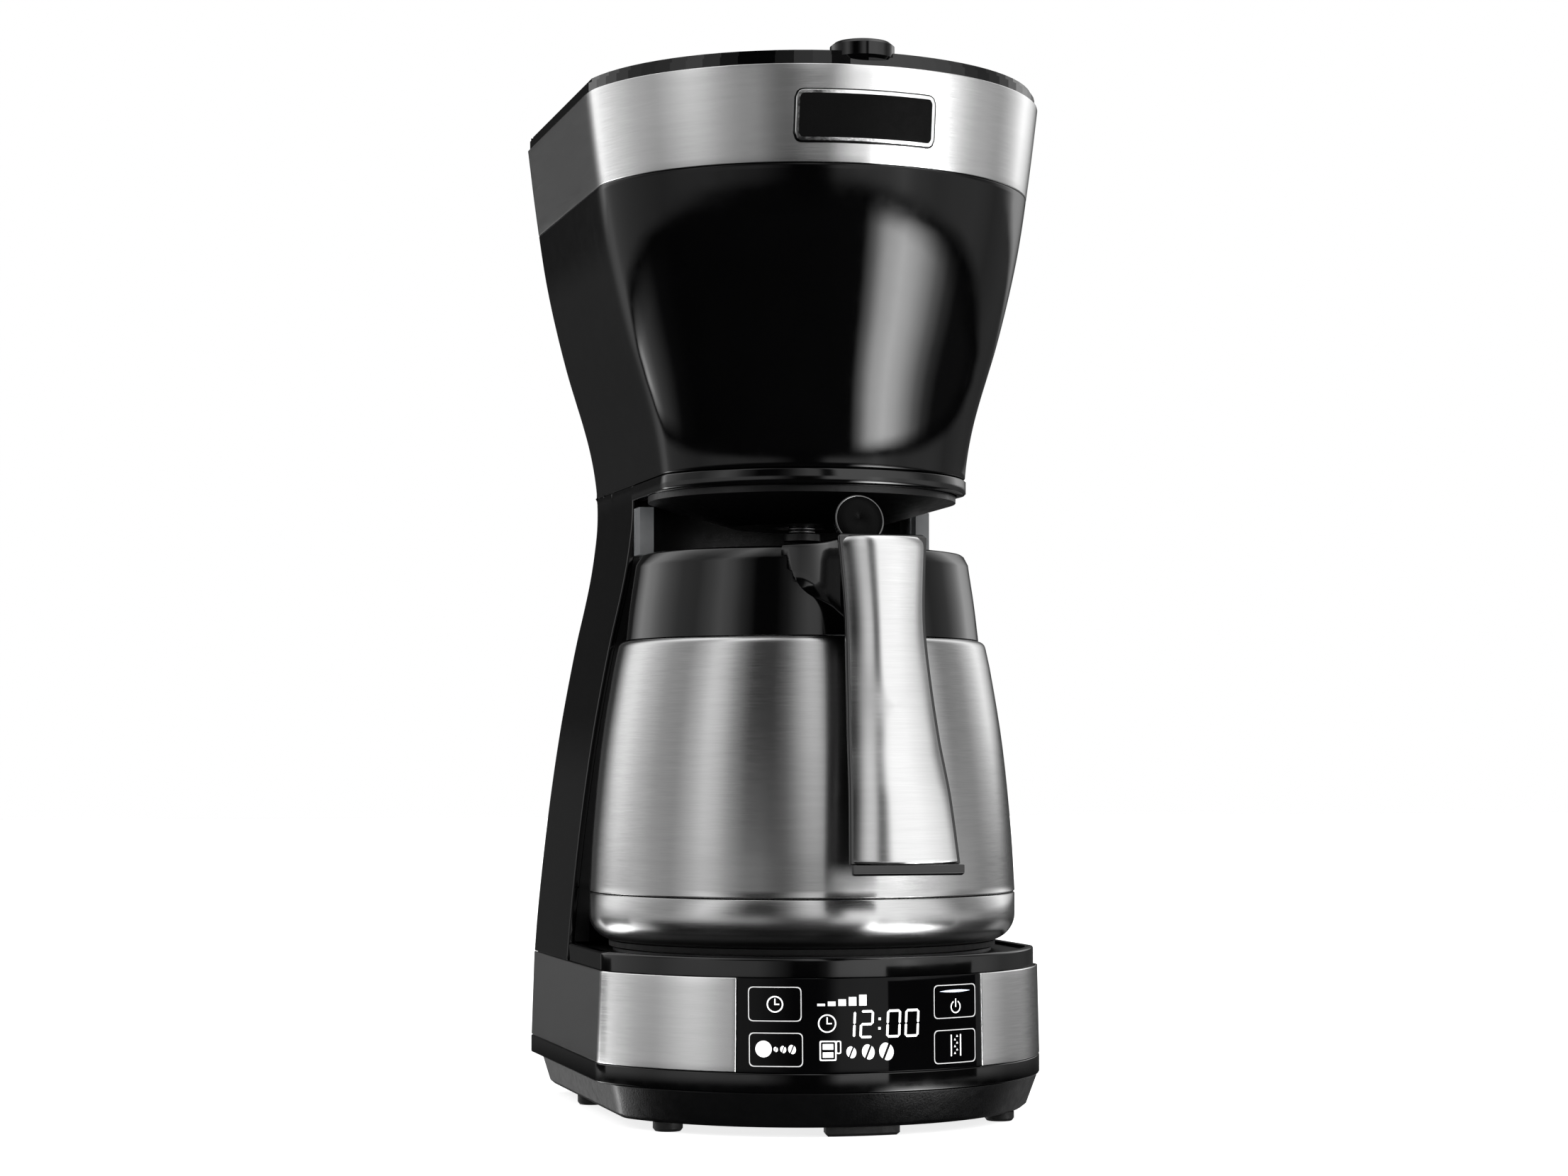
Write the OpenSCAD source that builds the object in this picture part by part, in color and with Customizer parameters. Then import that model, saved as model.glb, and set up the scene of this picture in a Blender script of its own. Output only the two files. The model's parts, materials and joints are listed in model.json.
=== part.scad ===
// Drip coffee maker with a thermal carafe, an hourglass housing and a rear water tank.
// Millimetres, +Z up, front towards -Y. The plan is laid out around the upright axis of
// the carafe, and place() shifts that axis so that the origin lies under the middle.

/* [Housing] */
// Distance from the carafe axis forward to the crease between front arc and side wall
crease_y = 21; // [19:0.5:23]
// Distance from the carafe axis back to the rear corners
rear_y = 98.5; // [97:0.5:100]
// Distance from the carafe axis back to the middle of the rear cover
back_y = 118; // [116:0.5:120]
// Wall thickness of the moulded shells
wall = 2.4; // [2:0.2:2.6]
// Height of the lower edge of the steel head band
band_z0 = 341.4; // [338:0.2:344]
// Height of the upper edge of the steel head band
band_z1 = 375.3; // [375:0.1:375.4]
// Height of the underside of the lip ring below the head
lip_z = 231; // [230:0.5:232]
// Height of the lip ring
lip_h = 6; // [5:0.5:6]

/* [Base] */
// Height of the deck rim that surrounds the carafe
deck_z = 63; // [62.9:0.05:63.05]
// Height of the lower edge of the steel fascia
fascia_z0 = 23; // [22.9:0.1:24]
// Height of the upper edge of the steel fascia
fascia_z1 = 56.2; // [55:0.1:56.3]
// Half angle of the display window around the carafe axis
window_a = 30.4; // [28:0.2:32]
// Height of the underside of the base pan
pan_z = 3.4; // [3:0.1:4]

/* [Carafe] */
// Height of the underside of the carafe's foot ring
carafe_z = 63.3; // [63.3:0.05:63.4]
// Turn of the handle towards the right of the front
handle_turn = 1.7; // [0:0.1:2]
// Thickness of the steel sheets of the carafe
sheet = 0.8; // [0.6:0.1:1]

/* [Filter] */
// Top radius of the filter basket
basket_r = 66; // [64:0.5:66]
// Radius of the drip valve's stem
stem_r = 2.4; // [2.2:0.1:2.6]

/* [Hidden] */

$fn = 72;
axis_y = 3;
eps = 0.01;
gap = 0.3;
arc_n = 36;
back_n = 14;

black = "#151515";
soft_black = "#1e1e1f";
steel = "#b9bbbd";
grey = "#6f7275";
smoke = "#8f979c";
copper = "#b87333";
green = "#1f5a36";

// Half width of the side walls against height: [height, half width]
side_curve = [[14, 84.9], [58, 83.1], [100, 79], [140, 73.5], [175, 67], [205, 60.4],
              [231, 57.6], [255, 60.6], [290, 70.9], [320, 78], [350, 82.7], [376, 86]];
// Radius of the carafe's steel wall against height: [height, radius]
carafe_curve = [[83.3, 79.9], [105, 78.6], [137, 75.4], [164, 71.1], [176, 68.6]];
// Radius of the handle's outer line against height, and its width: [height, value]
grip_curve = [[93, 122.4], [121, 116.2], [138, 110.3], [162, 104], [182, 100.2], [212, 97.2]];
grip_width = [[93, 38], [121, 34.3], [138, 31.4], [162, 28.3], [182, 27], [212, 30.4]];

head_z = lip_z + lip_h;
neck_z = 372;
lid_z0 = band_z1 + gap;
lid_z1 = 380.4;
hinge_y = 103;
hinge_z = 377;
edge_y = 33;
tank_y = 75;
tank_z0 = 178;
tank_z1 = 360;
riser_x = 30;
riser_y = 100;
board_z = 22;
heater_z = 36;
heater_r = 30;
heater_y = 52;
spout_y = 84;
cord_x = -35;
cord_z = 32;
cord_face = back_y - 1.5;
boss_places = [[52, -38], [58, 62]];
basket_z0 = 240;
basket_z1 = 345;
seam_z = 83.3;
cup_r = 79.9;
cup_round = 10;
shoulder_z = 176;
collar_z1 = 209;
grip_z0 = 96.7;
grip_z1 = 211;
lever_y = -59.5;
lever_z = 206.5;

// Cubic through the points of a [place, value] list
function span(c, z, i = 0) = (i >= len(c) - 2 || z < c[i + 1][0]) ? i : span(c, z, i + 1);
function slope(c, i) = let (a = max(i - 1, 0), b = min(i + 1, len(c) - 1))
    (c[b][1] - c[a][1]) / (c[b][0] - c[a][0]);
function at(c, z) = let (i = span(c, z), h = c[i + 1][0] - c[i][0], t = (z - c[i][0]) / h)
    (2 * t ^ 3 - 3 * t ^ 2 + 1) * c[i][1] + (t ^ 3 - 2 * t ^ 2 + t) * h * slope(c, i)
    + (3 * t ^ 2 - 2 * t ^ 3) * c[i + 1][1] + (t ^ 3 - t ^ 2) * h * slope(c, i + 1);

function half_w(z) = at(side_curve, z);
function front_r(z) = sqrt(half_w(z) ^ 2 + crease_y ^ 2);
// The steel fascia flares slightly towards its lower edge
function base_w(z) = 83.3 + (fascia_z1 - z) * 0.035;
function base_r(z) = 88.3 + (fascia_z1 - z) * 0.024;

function steps(a, b, n) = [for (k = [0 : n]) a + (b - a) * k / n];
function flip(l) = [for (i = [len(l) - 1 : -1 : 0]) l[i]];
// Arc round the carafe axis; angle 0 points to the front
function arc(r, a0, a1, n = arc_n) = [for (a = steps(a0, a1, n)) [r * sin(a), -r * cos(a)]];
function u_path(w, r, yb) = let (a = asin(w / r)) concat([[-w, yb]], arc(r, -a, a), [[w, yb]]);
function side_path(w, r, yb, a1) = concat([[-w, yb]], arc(r, -asin(w / r), a1));
function back_arc(w, yb, b) = let (s = b - yb, rb = (w * w + s * s) / (2 * s), a = asin(w / rb))
    [for (t = steps(a, -a, back_n)) [rb * sin(t), b - rb + rb * cos(t)]];
function plan(w, r, yb, b) = let (a = asin(w / r)) concat(arc(r, -a, a), back_arc(w, yb, b));
function strip(outer, inner) = concat(outer, flip(inner));

module place() translate([0, axis_y, 0]) children();
module turned() place() rotate(handle_turn) children();
module both() for (s = [0, 1]) mirror([s, 0, 0]) children();
module at_z(z) translate([0, 0, z]) children();
module tube(r1, r2, h) difference() {
    cylinder(r = r2, h = h);
    translate([0, 0, -1]) cylinder(r = r1, h = h + 2);
}
// Box from its lowest to its highest corner
module box(a, b) translate(a) cube(b - a);

// Closed solid through rings of equal length, one ring for each height. A thin one has
// rings made by strip(), and its caps run from the outer line straight to the inner one.
module loft(rings, zs, thin = false) {
    n = len(rings[0]);
    m = len(zs);
    points = [for (k = [0 : m - 1]) for (p = rings[k]) [p[0], p[1], zs[k]]];
    sides = [for (k = [0 : m - 2]) for (i = [0 : n - 1])
        let (j = (i + 1) % n, a = k * n + i, b = k * n + j, c = b + n, d = a + n)
        each [[a, c, b], [a, d, c]]];
    bottom = thin ? [for (i = [0 : n / 2 - 2])
            each [[i, i + 1, n - 2 - i], [i, n - 2 - i, n - 1 - i]]]
        : [[for (i = [0 : n - 1]) i]];
    top = [for (face = bottom) [for (i = flip(face)) (m - 1) * n + i]];
    polyhedron(points, concat(sides, bottom, top));
}

// ---- Base -----------------------------------------------------------------------------

module base_pan() color(soft_black) place() {
    pan_top = 16;
    difference() {
        loft([plan(77, 84, 95, 113), plan(80.5, 88.8, 97.5, 116)], [pan_z, pan_top]);
        at_z(pan_z + wall) linear_extrude(pan_top)
            polygon(plan(74, 81, 92, 110));
        both() translate([-79.5, -27, 10]) rotate([22, 0, 8]) cube([5, 2.6, 16], center = true);
        both() for (p = boss_places) translate([p[0], p[1], 0]) {
            cylinder(r = 3.1, h = 5.05);
            cylinder(r = 1.7, h = 20);
        }
    }
    both() for (p = boss_places) translate([p[0], p[1], pan_z + wall - eps])
        tube(1.7, 4, pan_top - pan_z - wall);
    for (x = [-22, 32]) for (y = [-49, -15]) translate([x, y, pan_z + wall - eps])
        cylinder(r = 2.5, h = board_z - pan_z - wall);
    both() box([heater_r - 3, 70, pan_z + wall - eps], [heater_r + 3, 76, heater_z - 7.9]);
}

// Axis of the cord inlet, from a distance along the plan towards the back
module cord_axis(y) translate([cord_x, y, cord_z]) rotate([-90, 0, 0]) children();
module base_shell() color(black) place() {
    difference() {
        union() {
            at_z(16) linear_extrude(fascia_z0 - 16)
                polygon(plan(84.5, 89.1, rear_y, back_y));
            at_z(fascia_z0 - 1) linear_extrude(fascia_z1 - fascia_z0 + 1)
                polygon(plan(82.3, 87.2, rear_y - 0.4, back_y - 0.6));
            cord_axis(cord_face - 5.5) cylinder(r = 9.5, h = 5.5);
        }
        at_z(15) linear_extrude(50) polygon(plan(80.2, 85, rear_y - 3, back_y - 3.2));
        box([-40, -95, 28], [40, -70, 52]);
        cord_axis(cord_face - 12.5) cylinder(r = 8.2, h = 6.8);
        cord_axis(cord_face - 10) cylinder(r = 6.2, h = 20);
    }
    both() for (p = boss_places) translate([p[0], p[1], 16.1]) tube(1.3, 4, 20);
    both() box([61.5, 60, 26], [80.5, 64, 30]);
    both() box([55.5, -40, 26], [76.5, -36, 30]);
    both() box([36.1, -76.8, 28.5], [41, -74, 51.5]);
}

module fascia_panel() {
    zs = steps(fascia_z0 + 0.1, fascia_z1, 4);
    loft([for (z = zs) strip(side_path(base_w(z), base_r(z), rear_y, -window_a - 0.3),
                             side_path(base_w(z) - sheet, base_r(z) - sheet, rear_y,
                                       -window_a - 0.3))], zs, thin = true);
}
module fascia_left() color(steel) place() fascia_panel();
module fascia_right() color(steel) place() mirror([1, 0, 0]) fascia_panel();

module display_window() color("#050506") place() {
    zs = steps(fascia_z0 + 0.1, fascia_z1, 4);
    loft([for (z = zs) strip(arc(base_r(z) - 0.05, -window_a, window_a),
                             arc(base_r(z) - 1, -window_a, window_a))], zs, thin = true);
}

module display_board() place() {
    color(green) box([-36, -76.5, 29], [36, -75, 51]);
    color(grey) box([-24, -81, 30.5], [24, -76.5, 49.5]);
    for (x = [-32, 28]) for (z = [31, 42]) color(smoke) box([x, -78.5, z], [x + 5, -76.5, z + 5]);
}

module power_board() place() at_z(board_z) {
    color(green) box([-25, -52, 0], [35, -12, 1.6]);
    color("#202226") box([-20, -46, 1.6], [-2, -30, 18]);
    color("#30343a") translate([20, -34, 1.6]) cylinder(r = 8, h = 18);
    color(smoke) box([-16, -24, 1.6], [26, -17, 9]);
}

module flow_heater() place() color("#a9abad") {
    translate([0, heater_y, heater_z]) rotate([0, 0, 180]) rotate_extrude(angle = 180)
        translate([heater_r, 0]) circle(r = 8);
    for (x = [-heater_r, heater_r]) translate([x, heater_y - eps, heater_z])
        rotate([-90, 0, 0]) cylinder(r = 8, h = 38);
    for (x = [-heater_r, heater_r]) translate([x, riser_y - 12, heater_z])
        rotate([-90, 0, 0]) cylinder(r = 5, h = 12);
    for (x = [-heater_r, heater_r]) translate([x, riser_y, heater_z - 5]) cylinder(r = 5, h = 19);
}

module thermostat() place() {
    color(smoke) translate([0, heater_y - heater_r, heater_z + 7.9]) cylinder(r = 8, h = 6);
    color(copper) for (s = [-1, 1])
        box([s * 5 - 1.5, heater_y - heater_r - 1, heater_z + 13.8],
            [s * 5 + 1.5, heater_y - heater_r + 1, heater_z + 18]);
}

module inlet_hose() color("#d8dadb") translate([-riser_x, riser_y + axis_y, heater_z + 14])
    tube(3, 5, 162 - heater_z - 14);

module riser_tube() color("#d8dadb") place() {
    spout_z = 361.5;
    translate([riser_x, riser_y, heater_z + 14]) tube(3, 4.6, spout_z - heater_z - 13.9);
    difference() {
        union() {
            box([riser_x - 4, spout_y, spout_z], [riser_x + 4, riser_y + 4, spout_z + 5.2]);
            translate([riser_x, spout_y, spout_z]) cylinder(r = 4.5, h = 9.7);
        }
        box([riser_x - 2.6, spout_y, spout_z + 1.2], [riser_x + 2.6, riser_y, spout_z + 4]);
        translate([riser_x, spout_y, spout_z + 2]) cylinder(r = 3, h = 20);
        translate([riser_x, riser_y, spout_z - 1]) cylinder(r = 3, h = 4);
    }
}

module check_valve() color("#cfd2d4") translate([-riser_x, riser_y + axis_y, 162]) {
    tube(3, 7, 10);
    at_z(10 - eps) tube(3, 4.6, 6);
}

module carafe_deck() color(black) place() {
    rim = 3;
    difference() {
        union() {
            at_z(fascia_z1 + 0.1) linear_extrude(deck_z - fascia_z1 - 0.1) intersection() {
                polygon(plan(82.5, 86.8, rear_y, back_y));
                translate([-100, -100]) square([200, 100 + edge_y - 0.4]);
            }
            box([-80.3, edge_y - 1, fascia_z1 + 0.1], [80.3, rear_y - 4, deck_z]);
        }
        at_z(61.6) linear_extrude(4) intersection() {
            polygon(plan(82.5 - rim, 86.8 - rim, rear_y, back_y));
            translate([-100, -100]) square([200, 100 + edge_y + 20]);
        }
        at_z(61.6) cylinder(r = 71.3, h = 4);
        both() box([-84, -24.4, 50], [-80.6, -23.4, 70]);
        for (x = [-riser_x, riser_x]) translate([x, riser_y, 50]) cylinder(r = 8, h = 20);
    }
}

module rest_plate() color(grey) translate([0, axis_y, 61.6]) {
    cylinder(r = 71, h = 1);
    for (r = [28, 48, 66]) at_z(1 - eps) tube(r, r + 2, 0.5);
}

module feet() color("#0c0c0c") place() both() for (p = [[62.5, -46], [70.5, 48], [46, 98]])
    translate([p[0], p[1], 0]) {
        cylinder(r1 = 4.6, r2 = 5.4, h = 1);
        at_z(1) cylinder(r = 5.4, h = pan_z - 1);
    }

module front_foot() color("#0c0c0c") place() {
    loft([strip(arc(80.4, -9, 9, 8), arc(74.6, -9, 9, 8)),
          strip(arc(81.4, -9.6, 9.6, 8), arc(74, -9.6, 9.6, 8)),
          strip(arc(81.4, -9.6, 9.6, 8), arc(74, -9.6, 9.6, 8))], [0, 1, pan_z], thin = true);
}

module base_screws() color(steel) place() both() for (p = boss_places)
    translate([p[0], p[1], pan_z + 0.2]) {
        cylinder(r = 2.8, h = 1.4);
        at_z(1.4 - eps) cylinder(r = 1.25, h = 24);
    }

module cable_gland() color("#0c0c0c") place() cord_axis(cord_face - 7.5) difference() {
    union() {
        cylinder(r = 6, h = 7.6);
        at_z(7.55) cylinder(r = 7.6, h = 1.3);
        cylinder(r = 7.6, h = 1.6);
    }
    at_z(-1) cylinder(r = 3.4, h = 12);
}

// ---- Housing, column and head ---------------------------------------------------------

function shell_ring(z, inset) = let (w = half_w(z) - inset, r = front_r(z) - inset)
    strip(u_path(w, r, rear_y), u_path(w - wall, r - wall, rear_y));

module side_wall() {
    zs = steps(fascia_z1 + 0.1, head_z, 16);
    loft([for (z = zs) let (w = half_w(z))
        [[-w, edge_y], [-w + wall, edge_y], [-w + wall, rear_y], [-w, rear_y]]], zs);
}

module housing() color(black) place() {
    levels = concat([for (z = steps(head_z, band_z0, 11)) [z, 0]],
                    [for (z = steps(band_z0 + 0.1, neck_z, 2)) [z, sheet + 0.1]]);
    loft([for (l = levels) shell_ring(l[0], l[1])], [for (l = levels) l[0]], thin = true);
    both() side_wall();
}

module rear_cover() color(soft_black) place() {
    zs = steps(fascia_z1 + 0.1, neck_z, 20);
    loft([for (z = zs) let (w = half_w(z))
        strip(back_arc(w, rear_y + 0.1, back_y), back_arc(w - wall, rear_y + 0.1, back_y - wall))],
        zs, thin = true);
}

module steel_band() color(steel) place() {
    zs = steps(band_z0 + 0.1, band_z1, 4);
    loft([for (z = zs) let (w = half_w(z), r = front_r(z))
        strip(u_path(w, r, rear_y), u_path(w - sheet, r - sheet, rear_y))], zs, thin = true);
}

module badge() place() {
    zs = steps(347, 368, 4);
    color(black) intersection() {
        loft([for (z = zs) strip(arc(front_r(z) + 1.1, -20, 20), arc(front_r(z) + 0.02, -20, 20))],
             zs, thin = true);
        translate([0, -70, 357.5]) rotate([90, 0, 0]) linear_extrude(30) {
            square([52, 12.6], center = true);
            square([46, 18.6], center = true);
            for (x = [-23, 23]) for (y = [-6.3, 6.3]) translate([x, y]) circle(r = 3);
        }
    }
}

module lip_ring() color(black) place() {
    at_z(lip_z) linear_extrude(lip_h - 0.1)
        polygon(strip(u_path(58.3, 61.7, edge_y - 0.5), u_path(55, 58.4, edge_y - 0.5)));
}

module head_floor() color(soft_black) place() {
    rotate_extrude() polygon([[11, 219.4], [26, 219.4], [57.8, 228.6], [57.8, 230.9],
                              [54.6, 230.9], [54.6, 233.4], [53, 233.4], [24, 222.6],
                              [11, 222.6]]);
    difference() {
        box([-54.6, 20, 231], [54.6, tank_y - 1, 233.4]);
        at_z(200) cylinder(r = 54, h = 60);
    }
}

// Pocket of the column that the carafe backs into: a wall of revolution, open to the front
function pocket_r(z) = z < shoulder_z ? at(carafe_curve, max(z, seam_z)) + 2.7
    : z < 210 ? 67.6 - (z - shoulder_z) * 0.03 : 62.5;
function mouth(z) = sqrt(pocket_r(z) ^ 2 - (edge_y + 4) ^ 2);
module column_liner() color(soft_black) place() {
    zs = concat([deck_z + 0.2], steps(90, 174, 7), [180, 209, 211, 230.8]);
    profile = strip([for (z = zs) [pocket_r(z) + 2, z]], [for (z = zs) [pocket_r(z), z]]);
    intersection() {
        rotate_extrude() polygon(profile);
        box([-100, edge_y + 4, 0], [100, 120, 300]);
    }
    // Front flanges between the pocket and the side walls
    fz = steps(deck_z + 0.2, 230.8, 18);
    both() translate([0, edge_y + 5.9, 0]) rotate([90, 0, 0]) linear_extrude(1.9)
        polygon(strip([for (z = fz) [mouth(z) + 0.8, z]],
                      [for (z = fz) [half_w(z) - wall - 0.05, z]]));
}

module level_window() {
    window_z1 = 228;
    box([-57.4, 22, 210], [-52, edge_y - 1, window_z1]);
    box([-54.8, edge_y - 1.5, 212], [-52.2, edge_y + 4, window_z1]);
}
module level_window_left() color(smoke) place() level_window();
module level_window_right() color(smoke) place() mirror([1, 0, 0]) level_window();

function tank_ring(z, inset) = let (w = half_w(z) - wall - 1 - inset)
    concat([[-w, tank_y + inset], [w, tank_y + inset]],
           back_arc(w, rear_y - 2, back_y - wall - 1 - inset));
module water_tank() color(smoke, 0.8) place() {
    zs = steps(tank_z0, tank_z1, 10);
    inner_zs = concat([tank_z0 + 2], [for (k = [1 : 9]) zs[k]], [tank_z1 + 1]);
    difference() {
        union() {
            difference() {
                loft([for (z = zs) tank_ring(z, 0)], zs);
                loft([for (z = inner_zs) tank_ring(z, 2)], inner_zs);
            }
            translate([riser_x, riser_y, tank_z0]) cylinder(r = 6.8, h = tank_z1 - tank_z0);
        }
        translate([riser_x, riser_y, tank_z0 - 1]) cylinder(r = 5, h = 200);
        translate([-riser_x, riser_y, tank_z0 - 1]) cylinder(r = 3, h = 10);
    }
}

module top_frame() color(soft_black) place() {
    at_z(367) difference() {
        linear_extrude(3) polygon(plan(half_w(368) - 3.6, front_r(368) - 3.6, rear_y - 1.5,
                                       back_y - 3));
        translate([0, 0, -1]) cylinder(r = basket_r + 3, h = 5);
        box([-66, tank_y + 5, -1], [20, 94, 5]);
        translate([riser_x, spout_y, -1]) cylinder(r = 4.9, h = 5);
    }
    at_z(350) difference() {
        tube(basket_r + 3, basket_r + 5, 17.01);
        box([-100, 74, -1], [100, 100, 30]);
    }
}

module rear_deck() color(black) place() {
    difference() {
        at_z(neck_z + 0.1) linear_extrude(lid_z1 - neck_z - 0.3)
            polygon(concat([[-84.6, 97.6], [84.6, 97.6]],
                           back_arc(84.6, rear_y, back_y - 0.8)));
        both() box([33, 90, 360], [51, 109, 390]);
        translate([-70, hinge_y, hinge_z]) rotate([0, 90, 0]) cylinder(r = 2, h = 140);
    }
}

module hinge_pin() color(steel) place()
    translate([-64, hinge_y, hinge_z]) rotate([0, 90, 0]) cylinder(r = 1.98, h = 128);

// ---- Lid ------------------------------------------------------------------------------

module lid() color(black) place() {
    edge = 96.4;
    difference() {
        union() {
            at_z(lid_z0) linear_extrude(3)
                polygon(concat(arc(87.2, -asin(85.4 / 87.2), asin(85.4 / 87.2)),
                               [[85.4, edge], [-85.4, edge]]));
            at_z(lid_z0 + 2.9) linear_extrude(lid_z1 - lid_z0 - 2.9)
                polygon(concat(arc(86, -asin(84.2 / 86), asin(84.2 / 86)),
                               [[84.2, edge], [-84.2, edge]]));
        }
        at_z(lid_z0 - 1) linear_extrude(3.4)
            polygon(concat(arc(83, -asin(81 / 83), asin(81 / 83)), [[81, 92], [-81, 92]]));
    }
    both() difference() {
        union() {
            box([34, 92, lid_z0 + 0.4], [50, hinge_y, lid_z1 - 0.4]);
            translate([34, hinge_y, hinge_z]) rotate([0, 90, 0]) cylinder(r = 3.6, h = 16);
        }
        translate([30, hinge_y, hinge_z]) rotate([0, 90, 0]) cylinder(r = 2.05, h = 24);
    }
}

module lid_knob() color(black) place() difference() {
    translate([0, -79, lid_z1 - 2.8]) {
        cylinder(r1 = 10.6, r2 = 11.4, h = 1.2);
        at_z(1.2) cylinder(r = 11.4, h = 4.4);
        at_z(5.6) cylinder(r1 = 11.4, r2 = 9.8, h = 1.3);
    }
    at_z(lid_z0) cylinder(r = 87.25, h = 3.05);
    at_z(lid_z0) cylinder(r = 86.05, h = lid_z1 - lid_z0 + eps);
}

module lid_duct() color(soft_black) place() difference() {
    union() {
        box([-9, 18, 371.4], [9, 84, 377.9]);
        box([-9, 76, 371.4], [38, 91, 377.9]);
        translate([0, 18, 366]) cylinder(r = 9, h = 11.9);
    }
    box([-7, 20, 373], [7, 89, 376.4]);
    box([-7, 78, 373], [36, 89, 376.4]);
    translate([0, 18, 360]) cylinder(r = 6, h = 16);
    translate([riser_x, spout_y, 370]) cylinder(r = 4, h = 5);
}

module shower_head() color(soft_black) place() translate([0, 18, 357]) {
    difference() {
        cylinder(r = 27, h = 4);
        translate([0, 0, 1.5]) cylinder(r = 25, h = 1.5);
        for (a = [0 : 30 : 330]) rotate(a) translate([18, 0, -1]) cylinder(r = 1.2, h = 4);
        for (a = [0 : 60 : 300]) rotate(a) translate([9, 0, -1]) cylinder(r = 1.2, h = 4);
    }
    at_z(3.9) tube(6.1, 9, 5.1);
}

// ---- Filter ---------------------------------------------------------------------------

module filter_basket() color(soft_black) place() {
    rotate_extrude() polygon([[stem_r + 0.06, 224], [8, 224], [8, basket_z0], [43, basket_z0],
                              [43, 231], [45, 231], [45, basket_z0], [49, basket_z0],
                              [basket_r, basket_z1 - 2], [basket_r + 1.4, basket_z1 - 2],
                              [basket_r + 1.4, basket_z1], [basket_r - 2, basket_z1],
                              [47.2, basket_z0 + 2], [stem_r + 0.06, basket_z0 + 2]]);
    for (a = [45 : 90 : 315]) rotate(a) translate([24, -0.8, basket_z0 + 1.9])
        cube([18, 1.6, 7]);
}

module mesh_filter() color("#c9a24a") place() {
    rotate_extrude() polygon([[0, 249], [44, 249], [62.4, 343], [63.2, 343], [63.2, 344.6],
                              [61.2, 344.6], [42.8, 249.9], [0, 249.9]]);
}

module drip_valve() color("#2a2b2d") place() {
    at_z(214.5) cylinder(r = 7, h = 2.5);
    at_z(216.9) cylinder(r = stem_r, h = 27);
    at_z(242.9) cylinder(r = 6, h = 1.6);
}

module valve_seal() color("#7a2e22") place() at_z(242.15) tube(stem_r + 0.05, 5.6, 0.7);

module valve_spring() color(steel) place() for (k = [0 : 4]) at_z(217.9 + k * 1.25)
    rotate_extrude() translate([4.6, 0]) circle(r = 0.5, $fn = 16);

// ---- Carafe ---------------------------------------------------------------------------

module carafe_shell() color(steel) place() {
    zs = steps(seam_z + 0.15, shoulder_z - 1.6, 12);
    outer = [for (z = zs) [at(carafe_curve, z), z]];
    rotate_extrude($fn = 128) polygon(concat(outer,
        [[67.9, shoulder_z - 0.3], [66.6, shoulder_z + 0.6], [65, shoulder_z + 0.8],
         [65, shoulder_z], [66.4, shoulder_z - 0.8]],
        flip([for (p = outer) p - [sheet, 0]])));
}

module carafe_cup() color(steel) place() {
    z0 = carafe_z + 1.9;
    corner = [for (a = [0 : 10 : 90]) [sin(a), 1 - cos(a)]];
    outer = concat([[0, z0]], [for (c = corner) [cup_r - cup_round + cup_round * c[0],
                                                 z0 + cup_round * c[1]]],
                   [[cup_r, seam_z - 0.15]]);
    inner_round = cup_round - sheet;
    inner = concat([[0, z0 + sheet]],
                   [for (c = corner) [cup_r - cup_round + inner_round * c[0],
                                      z0 + sheet + inner_round * c[1]]],
                   [[cup_r - sheet, seam_z - 0.15]]);
    rotate_extrude($fn = 128) polygon(strip(outer, inner));
}

module inner_flask() color("#9da0a3") place() {
    zs = steps(84, 158, 8);
    body = [for (z = zs) [at(carafe_curve, z) - 6, z]];
    outer = concat([[0, 71], [64, 71], [71, 74.5]], body, [[58, 167], [44, 172], [37, 175.5],
                   [37, 198]]);
    inner = concat([[0, 71.8], [63.6, 71.8], [70.2, 75]], [for (p = body) p - [0.8, 0]],
                   [[57.4, 166.4], [43.6, 171.3], [36.2, 175], [36.2, 198]]);
    rotate_extrude() polygon(strip(outer, inner));
}

module carafe_foot() color("#101010") place() at_z(carafe_z) tube(58, 72.5, 1.9);

module arm_slab(y, x, z0, z1, t = 1) box([-x, y - t, z0], [x, y, z1]);
module carafe_collar() color(black) turned() difference() {
    union() {
        rotate_extrude($fn = 128) polygon([[66.3, shoulder_z + 0.9], [65.2, 187], [63.6, 197],
            [62.4, 205.6], [61.7, 207.6], [60.2, 208.7], [58.6, collar_z1], [54, collar_z1],
            [54, 199.5], [59, 196], [62.4, 180.4], [37.6, 180.4], [37.6, shoulder_z + 0.9]]);
        intersection() {
            union() {
                hull() {
                    arm_slab(-56, 22, 203, 209);
                    arm_slab(-66, 16.5, 188, 209.4);
                }
                hull() {
                    arm_slab(-58, 9, 181, 209);
                    arm_slab(-66, 16.5, 188, 209.4);
                    arm_slab(-88, 13.8, 178, 210.6);
                }
            }
            difference() {
                box([-40, -100, 170], [40, -50, 220]);
                at_z(160) cylinder(r = 60.5, h = 60);
            }
        }
    }
    box([-4.6, -63, 203], [4.6, -50, 215]);
    box([-10.6, -82, 205.4], [10.6, -62, 215]);
    translate([-8, lever_y, lever_z]) rotate([0, 90, 0]) cylinder(r = 1.5, h = 16);
}

function grip_ring(z) = let (a = at(grip_width, z) / 2 + 1.2, r = at(grip_curve, z) - 1)
    concat([[-a, -r], [a, -r]], [for (t = steps(12, 168, 13)) [a * cos(t), -r + 12.5 * sin(t)]]);
module handle_grip() color(black) turned() {
    zs = steps(grip_z0, grip_z1, 14);
    loft([for (z = zs) grip_ring(z)], zs);
}

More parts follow.
